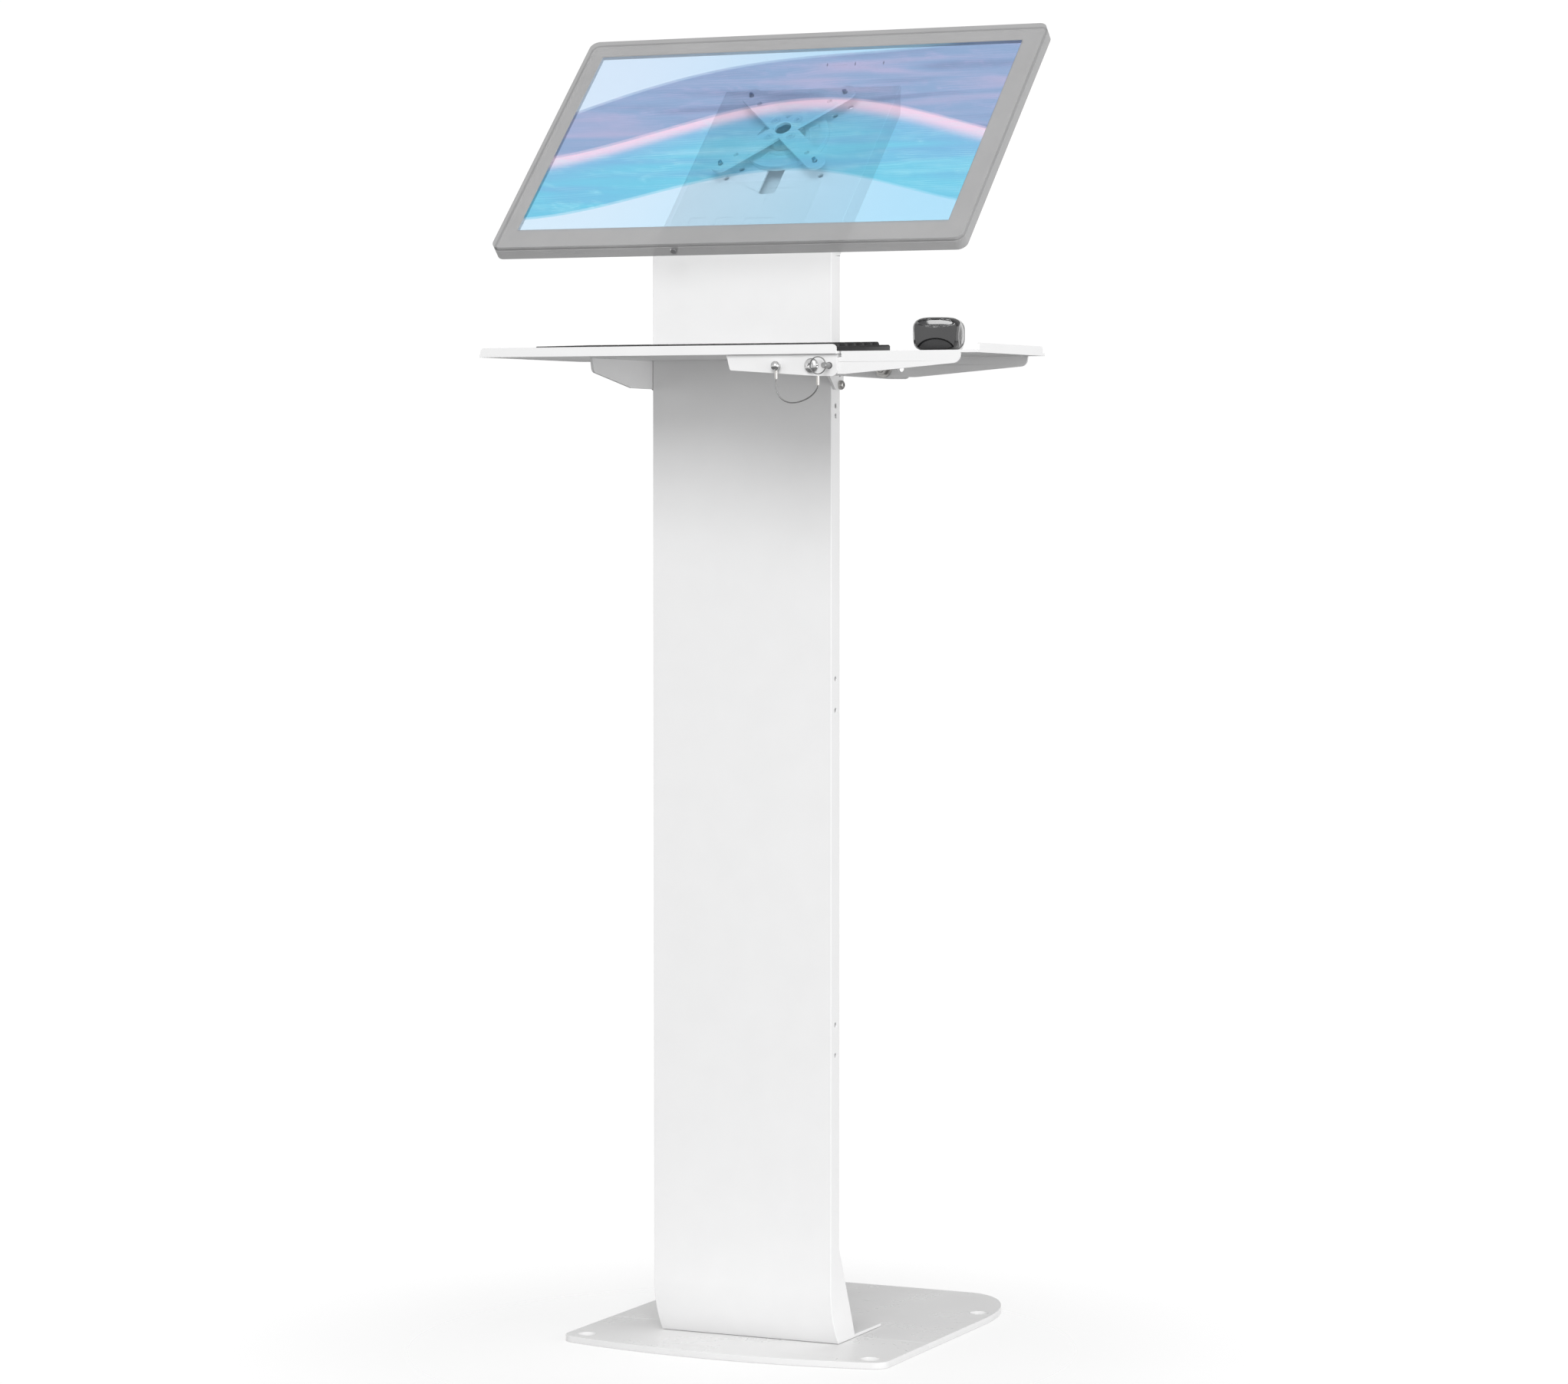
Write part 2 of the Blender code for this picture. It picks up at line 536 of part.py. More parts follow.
def tray():
    """Make the keyboard tray, its two arms, the hinge frame and their bolts."""
    outline = fillet([(-TRAY_HALF_W, TRAY_FRONT_Y, 1.0), (TRAY_HALF_W, TRAY_FRONT_Y, 1.0),
                      (TRAY_HALF_W, TRAY_REAR_Y, 5.0), (COL_HALF_W + 0.4, TRAY_REAR_Y, 1.0),
                      (COL_HALF_W + 0.4, -0.4, 0.0), (-COL_HALF_W - 0.4, -0.4, 0.0),
                      (-COL_HALF_W - 0.4, TRAY_REAR_Y, 1.0), (-TRAY_HALF_W, TRAY_REAR_Y, 5.0)], 4)
    bm = bmesh.new()
    prism(bm, outline, TRAY_Z, TRAY_Z + TRAY_T, plane_z)
    plate = part("tray_plate", bm, WHITE)
    bm = bmesh.new()
    lip = fillet([(-TRAY_HALF_W + 1.0, TRAY_Z + 0.5, 0.0), (TRAY_HALF_W - 1.0, TRAY_Z + 0.5, 0.0),
                  (TRAY_HALF_W - 1.0, TRAY_Z + LIP_H, 4.0), (-TRAY_HALF_W + 1.0, TRAY_Z + LIP_H, 4.0)], 5)
    prism(bm, lip, -TRAY_FRONT_Y - TRAY_T, -TRAY_FRONT_Y, plane_y)
    boolean(plate, bm, "tray_lip", "UNION")
    top = TRAY_Z - GAP
    bm = bmesh.new()
    prism(bm, box_outline(FRAME_LEFT_X, FRAME_RIGHT_X, FRAME_FRONT_Y, FRAME_REAR_Y), top - FRAME_T, top, plane_z)
    frame = part("hinge_frame", bm, WHITE)
    flange = fillet([(FRAME_LEFT_X, top - 0.4, 0.0), (FRAME_LEFT_X + 3.5, 932.4, 2.0), (161.0, 926.6, 0.0),
                     (FRAME_RIGHT_X, 926.4, 5.0), (FRAME_RIGHT_X, top - 0.4, 0.0)], 5)
    for name, y in (("hinge_frame_front", -FRAME_FRONT_Y - FRAME_T), ("hinge_frame_rear", -FRAME_REAR_Y)):
        bm = bmesh.new()
        prism(bm, flange, y, y + FRAME_T, plane_y)
        boolean(frame, bm, name, "UNION")
    cut = bmesh.new()
    for y in (-FRAME_FRONT_Y - FRAME_T - 1.0, -FRAME_REAR_Y - 1.0):
        prism(cut, circle(PIVOT_X, PIVOT_Z, 3.2, 20), y, y + FRAME_T + 2.0, plane_y)
        prism(cut, circle(PIN_X, PIVOT_Z, 3.2, 20), y, y + FRAME_T + 2.0, plane_y)
    prism(cut, circle(STUD_X, PIVOT_Z, 1.8, 16), -FRAME_FRONT_Y - FRAME_T - 1.0, -FRAME_FRONT_Y + 1.0, plane_y)
    boolean(frame, cut, "hinge_frame_holes")
    inner, outer = COL_HALF_W + GAP, COL_HALF_W + GAP + 2.6
    left = fillet([(-126.0, top, 0.0), (-123.0, 933.4, 6.0), (-43.6, 919.6, 5.0), (20.0, 919.0, 3.0),
                   (20.0, top, 0.0)], 5)
    right = fillet([(-13.3, top, 0.0), (-13.3, 932.6, 0.0), (3.6, 917.6, 2.5), (22.0, 917.6, 2.5), (22.0, top, 0.0)], 5)
    holes = [circle(ARM_HOLE_Y, z, 2.8, 16) for z in ARM_HOLES_Z]
    for name, loop, lo, hi in (("arm_left", left, -outer, -inner), ("arm_right", right, inner, outer)):
        bm = bmesh.new()
        prism(bm, loop, lo, hi, plane_x, holes)
        part(name, bm, WHITE)

    def leftward(point, w):
        return plane_x(point, -w)

    for name, plane, z in (("arm_bolt_right", plane_x, ARM_HOLES_Z[0]), ("arm_bolt_left_lower", leftward, ARM_HOLES_Z[0]),
                           ("arm_bolt_left_upper", leftward, ARM_HOLES_Z[1])):
        screw(name, (ARM_HOLE_Y, z), plane, outer + 0.05, 4.4, 4.4, 2.5, 6.1)


def wing():
    """Make the folding shelf, its pivots, lock pin, ring, stud, crimps and lanyard."""
    axis = (PIVOT_X, 0.0, PIVOT_Z)
    front, rear = 179.2, 18.3
    bm = bmesh.new()
    plan = box_outline(WING_LEFT_X, WING_RIGHT_X, -front, -rear + FRAME_T)
    prism(bm, plan, TRAY_Z, TRAY_Z + TRAY_T, plane_z)
    shelf = part("wing_shelf", bm, WHITE, axis)
    bm = bmesh.new()
    lip = fillet([(-front + 5.0, TRAY_Z + 0.5, 0.0), (-rear - 3.0, TRAY_Z + 0.5, 0.0),
                  (-rear - 3.0, TRAY_Z + LIP_H, 3.0), (-front + 5.0, TRAY_Z + LIP_H, 3.0)], 5)
    prism(bm, lip, WING_RIGHT_X - TRAY_T, WING_RIGHT_X, plane_x)
    boolean(shelf, bm, "wing_lip", "UNION")
    ear = [(PIVOT_X + 7.6 * math.cos(math.radians(a)), PIVOT_Z + 7.6 * math.sin(math.radians(a)))
           for a in range(100, 266, 11)]
    flange = ear + fillet([(188.0, 928.2, 0.0), (299.5, 937.6, 7.0), (300.5, TRAY_Z + 1.2, 0.0),
                           (WING_LEFT_X + 0.4, TRAY_Z + 1.2, 0.0), (WING_LEFT_X + 0.4, 943.4, 0.0)], 6)
    holes = [circle(PIVOT_X, PIVOT_Z, 3.2, 20), circle(PIN_X, PIVOT_Z, 3.0, 20)]
    for name, y in (("wing_flange_front", front - FRAME_T), ("wing_flange_rear", rear - FRAME_T)):
        bm = bmesh.new()
        prism(bm, flange, y, y + FRAME_T, plane_y, holes)
        boolean(shelf, bm, name, "UNION")
    screw("pivot_screw_front", (PIVOT_X, PIVOT_Z), plane_y, -FRAME_FRONT_Y + 0.05, 6.9, 3.8, 3.0, 12.0)
    nut("pivot_nut_front", (PIVOT_X, PIVOT_Z), plane_y, 171.0, 176.9, 6.0, 3.15)

    def rearward(point, w):
        return plane_y(point, -w)

    screw("pivot_screw_rear", (PIVOT_X, PIVOT_Z), rearward, FRAME_REAR_Y + 0.05, 6.9, 3.8, 3.0, 12.0)
    bm = bmesh.new()
    lathe(bm, [(3.1, 18.6), (8.0, 18.6), (8.0, 20.0), (3.1, 20.0)], (PIVOT_X, PIVOT_Z), plane_y, 28, True)
    part("pivot_washer_rear", bm, STEEL)
    nut("pivot_nut_rear", (PIVOT_X, PIVOT_Z), plane_y, 20.3, 25.6, 6.0, 3.15)
    pin_axis = (PIN_X, -RING_Y, PIVOT_Z)
    bm = bmesh.new()
    profile = [(0.0, 179.5), (2.2, 179.5), (2.6, 180.0), (2.6, 193.6), (2.2, 194.2), (0.0, 194.2)]
    lathe(bm, profile, (PIN_X, PIVOT_Z), plane_y, 18)
    pin = part("lock_pin", bm, STEEL, pin_axis)
    cut = bmesh.new()
    prism(cut, circle(PIN_X, -RING_Y, 1.0, 14), PIVOT_Z - 6.0, PIVOT_Z + 6.0, plane_z)
    boolean(pin, cut, "lock_pin_eye")
    bm = bmesh.new()
    torus(bm, (PIN_X - RING_R, -RING_Y, PIVOT_Z), RING_R, 0.6, 28, 6)
    part("lock_ring", bm, STEEL, pin_axis)
    bm = bmesh.new()
    profile = [(0.0, 178.4), (1.5, 178.4), (1.5, 181.6), (3.4, 181.6), (3.4, 182.6), (1.4, 183.4),
               (1.4, 186.6), (2.4, 187.2), (2.4, 188.0), (0.0, 188.0)]
    lathe(bm, profile, (STUD_X, PIVOT_Z), plane_y, 14)
    part("lanyard_stud", bm, STEEL)
    for name, x, y, z0, z1, pivot in (("crimp_stud", STUD_X + 0.4, -185.0, 924.0, 932.0, (0.0, 0.0, 0.0)),
                                      ("crimp_ring", PIN_X - RING_R, -RING_Y, 918.0, 926.6, pin_axis)):
        bm = bmesh.new()
        lathe(bm, [(0.75, z0), (1.6, z0), (1.6, z1), (0.75, z1)], (x, y), plane_z, 14, True)
        part(name, bm, STEEL, pivot)
    lanyard()


def torus(bm, centre, major, minor, count, sides):
    """Add a ring of wire standing parallel to the front of the kiosk."""
    rings = []
    for i in range(count):
        a = math.tau * i / count
        ring = []
        for k in range(sides):
            b = math.tau * k / sides
            r = major + minor * math.cos(b)
            ring.append(bm.verts.new(Vector((centre[0] + r * math.cos(a), centre[1] + minor * math.sin(b),
                                             centre[2] + r * math.sin(a))) * MM))
        rings.append(ring)
    for i in range(count):
        a, b = rings[i], rings[(i + 1) % count]
        for k in range(sides):
            j = (k + 1) % sides
            bm.faces.new((a[k], a[j], b[j], b[k]))


def lanyard():
    """Make the thin wire that keeps the lock pin from being lost."""
    start = Vector((STUD_X + 0.4, -185.0, 923.7))
    end = Vector((PIN_X - RING_R, -RING_Y, 917.7))
    handles = (start, start + Vector((-3.0, 0.0, -33.0)), end + Vector((-3.0, 0.0, -15.0)), end)
    curve = bpy.data.curves.new("lanyard", "CURVE")
    curve.dimensions = "3D"
    curve.bevel_depth = 0.6 * MM
    curve.bevel_resolution = 2
    curve.use_fill_caps = True
    curve.render_resolution_u = 0
    spline = curve.splines.new("POLY")
    count = 26
    spline.points.add(count - 1)
    for i in range(count):
        t = i / (count - 1.0)
        weights = ((1 - t) ** 3, 3 * t * (1 - t) ** 2, 3 * t * t * (1 - t), t ** 3)
        p = sum((w * h for w, h in zip(weights, handles)), Vector())
        spline.points[i].co = (p.x * MM, p.y * MM, p.z * MM, 1.0)
    obj = bpy.data.objects.new("lanyard", curve)
    bpy.context.scene.collection.objects.link(obj)
    obj.data.materials.append(material("mat_lanyard", *STEEL))


def key_top(y):
    """Return the height of the keyboard's sloping top at a depth."""
    return 953.0 + (y - KEY_FRONT_Y) * 4.6 / (KEY_REAR_Y - KEY_FRONT_Y)


def key_rows():
    """Return key footprints as (x0, x1, y0, y1) and the space bar's footprint."""
    pitch = (KEY_RIGHT_X - KEY_LEFT_X - 14.0) / 17.0
    depth = (KEY_REAR_Y - KEY_FRONT_Y - 16.0) / 6.0
    keys = []
    for row in range(6):
        y0 = KEY_FRONT_Y + 8.0 + row * depth
        x = KEY_LEFT_X + 7.0
        widths = [1.0] * 17
        if row == 0:
            widths = [1.5, 1.25, 1.25, -6.0, 1.25, 1.25, 1.5, 1.0, 1.0, 1.0]
        elif row == 1:
            widths = [2.25] + [1.0] * 10 + [1.75] + [1.0] * 3
        elif row == 2:
            widths = [1.75] + [1.0] * 11 + [1.25] + [1.0] * 3
        elif row == 3:
            widths = [1.5] + [1.0] * 14 + [1.5]
        for width in widths:
            span = abs(width) * pitch
            if width < 0.0:
                space = (x + 0.8, x + span - 0.8, y0 + 0.8, y0 + depth - 0.8)
            else:
                keys.append((x + 0.9, x + span - 0.9, y0 + 0.9, y0 + depth - 0.9))
            x += span
    return keys, space


def slope(bm, loop, low, high, plane=None):
    """Add a body between two heights that follow the sloping top."""
    bottom = [bm.verts.new(Vector((x, y, key_top(y) + low)) * MM) for x, y in loop]
    top = [bm.verts.new(Vector((x, y, key_top(y) + high)) * MM) for x, y in loop]
    for i in range(len(loop)):
        j = (i + 1) % len(loop)
        bm.faces.new((bottom[i], bottom[j], top[j], top[i]))
    bm.faces.new(top)
    bm.faces.new(bottom[::-1])


def keyboard():
    """Make the keyboard case, its key block and its space bar."""
    keys, space = key_rows()
    bm = bmesh.new()
    outline = box_outline(KEY_LEFT_X, KEY_RIGHT_X, KEY_FRONT_Y, KEY_REAR_Y, 6.0, 5)
    low = [bm.verts.new(Vector((x, y, TRAY_Z + TRAY_T + GAP)) * MM) for x, y in outline]
    mid = [bm.verts.new(Vector((x, y, key_top(y) - 1.2)) * MM) for x, y in outline]
    inset = box_outline(KEY_LEFT_X + 1.2, KEY_RIGHT_X - 1.2, KEY_FRONT_Y + 1.2, KEY_REAR_Y - 1.2, 5.0, 5)
    top = [bm.verts.new(Vector((x, y, key_top(y))) * MM) for x, y in inset]
    for a, b in ((low, mid), (mid, top)):
        for i in range(len(a)):
            j = (i + 1) % len(a)
            bm.faces.new((a[i], a[j], b[j], b[i]))
    bm.faces.new(top)
    bm.faces.new(low[::-1])
    case = part("keyboard_case", bm, DARK)
    cut = bmesh.new()
    pocket = box_outline(KEY_LEFT_X + 5.5, KEY_RIGHT_X - 5.5, KEY_FRONT_Y + 6.5, KEY_REAR_Y - 6.5)
    slope(cut, pocket, -3.0, 3.0)
    boolean(case, cut, "keyboard_pocket")
    x0, x1, y0, y1 = KEY_LEFT_X + 6.0, KEY_RIGHT_X - 6.0, KEY_FRONT_Y + 7.0, KEY_REAR_Y - 7.0
    sx0, sx1, sy1 = space[0] - 0.5, space[1] + 0.5, space[3] + 0.5
    web = [(x0, y0), (sx0, y0), (sx0, sy1), (sx1, sy1), (sx1, y0), (x1, y0), (x1, y1), (x0, y1)]
    footprints = [[(k[0], k[2]), (k[0], k[3]), (k[1], k[3]), (k[1], k[2])] for k in keys]
    bm = bmesh.new()

    def rise(loop, up):
        return [bm.verts.new(Vector((x, y, key_top(y) + up)) * MM) for x, y in loop]

    bottom, edge = rise(web, -1.6), rise(web, -0.8)
    for i in range(len(web)):
        j = (i + 1) % len(web)
        bm.faces.new((bottom[i], bottom[j], edge[j], edge[i]))
    verts = list(edge)
    for loop in footprints:
        foot = rise(loop, -0.8)
        verts += foot
        cap = rise([(loop[0][0] + 1.2, loop[0][1] + 1.0), (loop[1][0] + 1.2, loop[1][1] - 1.0),
                    (loop[2][0] - 1.2, loop[2][1] - 1.0), (loop[3][0] - 1.2, loop[3][1] + 1.0)], 3.0)
        for i in range(4):
            j = (i + 1) % 4
            bm.faces.new((foot[i], foot[j], cap[j], cap[i]))
        bm.faces.new(cap)
    flat = [Vector((p[0], p[1], 0.0)) for loop in [web] + footprints for p in loop]
    loops = [[Vector((p[0], p[1], 0.0)) for p in loop] for loop in [web] + footprints]
    for tri in tessellate_polygon(loops):
        if flat[tri[0]].to_2d() != flat[tri[1]].to_2d():
            bm.faces.new([verts[i] for i in tri])
    bm.faces.new(bottom[::-1])
    part("key_block", bm, DARK, (0.0, KEY_FRONT_Y, TRAY_Z))
    bm = bmesh.new()
    bar = [(space[0] + 0.3, space[2]), (space[1] - 0.3, space[2]), (space[1] - 0.3, space[3]), (space[0] + 0.3, space[3])]
    slope(bm, bar, -1.6, 3.0)
    part("space_bar", bm, DARK, (0.0, KEY_FRONT_Y, TRAY_Z))


def swung(bm):
    """Turn a body about the scanner's front end, so that the grip points back towards the column."""
    centre = Vector((SCAN_X, SCAN_Y, 0.0)) * MM
    bmesh.ops.rotate(bm, verts=bm.verts, cent=centre, matrix=Matrix.Rotation(SCAN_TURN, 3, "Z"))
    return bm


def scanner():
    """Make the hand scanner lying on the shelf: head and grip, window and trigger."""
    floor = TRAY_Z + TRAY_T + GAP
    stations = ((0.0, 19.6, 12.6, 15.4), (3.0, 21.4, 14.6, 15.6), (12.0, 23.2, 15.6, 15.8), (26.0, 23.6, 15.6, 15.8),
                (38.0, 21.8, 14.8, 15.2), (52.0, 15.0, 13.2, 13.6), (76.0, 13.5, 12.6, 12.8), (96.0, 13.0, 12.2, 12.4),
                (100.0, 10.5, 10.0, 12.2))
    count = 28
    bm = bmesh.new()
    rings = []
    for depth, wide, tall, rise in stations:
        ring = []
        for i in range(count):
            a = math.tau * i / count
            c, s = math.cos(a), math.sin(a)
            x = SCAN_X + wide * math.copysign(abs(c) ** 0.62, c)
            z = floor + rise + tall * math.copysign(abs(s) ** 0.62, s)
            ring.append(bm.verts.new(Vector((x, SCAN_Y + depth, z)) * MM))
        rings.append(ring)
    for a, b in zip(rings, rings[1:]):
        for i in range(count):
            j = (i + 1) % count
            bm.faces.new((a[i], a[j], b[j], b[i]))
    bm.faces.new(rings[0])
    bm.faces.new(rings[-1][::-1])
    pivot = (SCAN_X, SCAN_Y, floor)
    body = part("scanner_body", swung(bm), DARK, pivot)
    cut = bmesh.new()
    mouth = box_outline(SCAN_X - 15.0, SCAN_X + 15.0, floor + 7.5, floor + 21.5, 4.0, 5)
    prism(cut, mouth, -SCAN_Y - 3.0, -SCAN_Y + 3.0, plane_y)
    prism(cut, box_outline(SCAN_X - 5.6, SCAN_X + 5.6, SCAN_Y + 58.0, SCAN_Y + 74.0, 3.0, 4), floor + 18.0,
          floor + 40.0, plane_z)
    boolean(body, swung(cut), "scanner_recesses")
    bm = bmesh.new()
    inner = box_outline(SCAN_X - 14.6, SCAN_X + 14.6, floor + 7.9, floor + 21.1, 3.7, 5)
    prism(bm, inner, -SCAN_Y - 2.6, -SCAN_Y - 1.0, plane_y)
    part("scanner_window", swung(bm), GLASS, pivot)
    bm = bmesh.new()
    plan = box_outline(SCAN_X - 5.1, SCAN_X + 5.1, SCAN_Y + 58.5, SCAN_Y + 73.5, 2.6, 4)
    prism(bm, plan, floor + 21.0, floor + 27.8, plane_z)
    part("scanner_trigger", swung(bm), SHELL, (SCAN_X, SCAN_Y, floor + 27.8))


def main():
    """Build the whole kiosk."""
    for obj in list(bpy.data.objects):
        bpy.data.objects.remove(obj)
    base_plates()
    column()
    column_fittings()
    head_group()
    monitor()
    tray()
    wing()
    keyboard()
    scanner()


main()
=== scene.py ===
import json
import logging
import math
from dataclasses import dataclass, field
from enum import Enum
from typing import Any, Sequence

import bpy
import numpy as np
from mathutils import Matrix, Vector

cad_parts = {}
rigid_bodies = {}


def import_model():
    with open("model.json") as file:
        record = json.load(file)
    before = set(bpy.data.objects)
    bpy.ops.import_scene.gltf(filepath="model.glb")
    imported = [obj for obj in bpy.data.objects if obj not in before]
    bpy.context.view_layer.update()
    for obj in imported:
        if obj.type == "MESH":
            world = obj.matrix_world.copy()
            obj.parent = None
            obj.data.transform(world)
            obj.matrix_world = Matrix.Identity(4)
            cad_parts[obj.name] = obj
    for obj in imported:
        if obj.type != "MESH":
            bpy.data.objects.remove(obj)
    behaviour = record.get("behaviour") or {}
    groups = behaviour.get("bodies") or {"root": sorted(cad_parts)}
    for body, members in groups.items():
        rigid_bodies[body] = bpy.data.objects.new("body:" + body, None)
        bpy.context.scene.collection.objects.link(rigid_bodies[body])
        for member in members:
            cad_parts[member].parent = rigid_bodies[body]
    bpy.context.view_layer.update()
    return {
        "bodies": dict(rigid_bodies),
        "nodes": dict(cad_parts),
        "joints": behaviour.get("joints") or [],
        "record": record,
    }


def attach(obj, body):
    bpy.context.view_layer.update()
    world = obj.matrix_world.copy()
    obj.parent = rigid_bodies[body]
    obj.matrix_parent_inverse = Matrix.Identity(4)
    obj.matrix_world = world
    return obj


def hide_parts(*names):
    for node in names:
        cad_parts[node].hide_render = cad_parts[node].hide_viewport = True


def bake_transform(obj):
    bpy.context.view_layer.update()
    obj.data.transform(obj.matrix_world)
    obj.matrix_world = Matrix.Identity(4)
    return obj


LOG = logging.getLogger("kiosk")
MM = 0.001
TILT = math.radians(45.3)
HEAD = np.array([0.0, 94.6, 1172.2])
UP = np.array([0.0, math.sin(TILT), math.cos(TILT)])
OUT = np.array([0.0, -math.cos(TILT), math.sin(TILT)])
RIGHT = np.array([1.0, 0.0, 0.0])
FORWARD = np.array([0.0, -1.0, 0.0])
SCREEN_V = -29.3
FRAME: dict[str, Any] = {}

Points = np.ndarray


class Group(Enum):
    """Shader node groups that several finishes share."""

    GRAIN = "fine grain"
    # The edge mask serves as real wear on steel and plastic, and as a painted edge highlight on the white
    # coat.
    WEAR_AND_HIGHLIGHT = "edge wear and highlight"
    DUST = "settled dust"
    SCUFF = "faint scuffs"


# ---------------------------------------------------------------------------------------------
# Node graphs
# ---------------------------------------------------------------------------------------------


class Graph:
    """A small helper that adds and joins shader nodes in one tree."""

    def __init__(self, tree: bpy.types.NodeTree) -> None:
        """Keep the tree that nodes are added to.

        Args:
            tree: the node tree of a material or a group.
        """
        self.tree = tree
        self.column = 0

    def add(self, kind: str, values: dict[Any, Any] | None = None, **settings: Any) -> bpy.types.Node:
        """Add a node, set its options and feed its inputs.

        Args:
            kind: the node's type name.
            values: input name or index to a plain value or to another node's output.
            settings: attributes of the node itself.

        Returns:
            The new node.
        """
        node = self.tree.nodes.new(kind)
        node.location = (180.0 * self.column, -40.0 * (self.column % 7))
        self.column += 1
        for name, value in settings.items():
            setattr(node, name, value)
        for name, value in (values or {}).items():
            if isinstance(value, bpy.types.NodeSocket):
                self.tree.links.new(value, node.inputs[name])
            else:
                node.inputs[name].default_value = value
        return node

    def math(self, operation: str, a: Any, b: Any = 0.0, clamp: bool = False) -> bpy.types.NodeSocket:
        """Add a Math node and return its output."""
        node = self.add("ShaderNodeMath", {0: a, 1: b}, operation=operation, use_clamp=clamp)
        return node.outputs[0]

    def scale_add(self, value: bpy.types.NodeSocket, factor: float, offset: float) -> bpy.types.NodeSocket:
        """Return factor times a value plus an offset."""
        node = self.add("ShaderNodeMath", {0: value, 1: factor, 2: offset}, operation="MULTIPLY_ADD")
        return node.outputs[0]

    def mix(self, factor: Any, a: Any, b: Any, blend: str = "MIX") -> bpy.types.NodeSocket:
        """Add a colour Mix node and return its colour output."""
        node = self.add("ShaderNodeMix", {}, data_type="RGBA", blend_type=blend)
        for index, value in ((0, factor), (6, a), (7, b)):
            if isinstance(value, bpy.types.NodeSocket):
                self.tree.links.new(value, node.inputs[index])
            else:
                node.inputs[index].default_value = value
        return node.outputs[2]

    def ramp(self, factor: bpy.types.NodeSocket, stops: Sequence[tuple[float, Any]],
             smooth: bool = False) -> bpy.types.NodeSocket:
        """Add a colour ramp.

        Args:
            factor: the value to look up.
            stops: (position, grey value or colour) pairs, lowest first.
            smooth: ease between the stops.

        Returns:
            The ramp's colour output.
        """
        node = self.add("ShaderNodeValToRGB", {0: factor})
        ramp = node.color_ramp
        ramp.interpolation = "EASE" if smooth else "LINEAR"
        while len(ramp.elements) < len(stops):
            ramp.elements.new(0.5)
        for element, (position, colour) in zip(ramp.elements, stops):
            element.position = position
            element.color = colour if isinstance(colour, tuple) else (colour, colour, colour, 1.0)
        return node.outputs[0]

    def noise(self, vector: Any, scale: Any, detail: float = 3.0, rough: float = 0.5,
              distort: float = 0.0) -> bpy.types.NodeSocket:
        """Add a noise texture and return its value."""
        node = self.add("ShaderNodeTexNoise", {"Vector": vector, "Scale": scale, "Detail": detail,
                                               "Roughness": rough, "Distortion": distort})
        return node.outputs[0]

    def place(self) -> bpy.types.NodeSocket:
        """Return the object coordinates of the surface."""
        return self.add("ShaderNodeTexCoord").outputs["Object"]


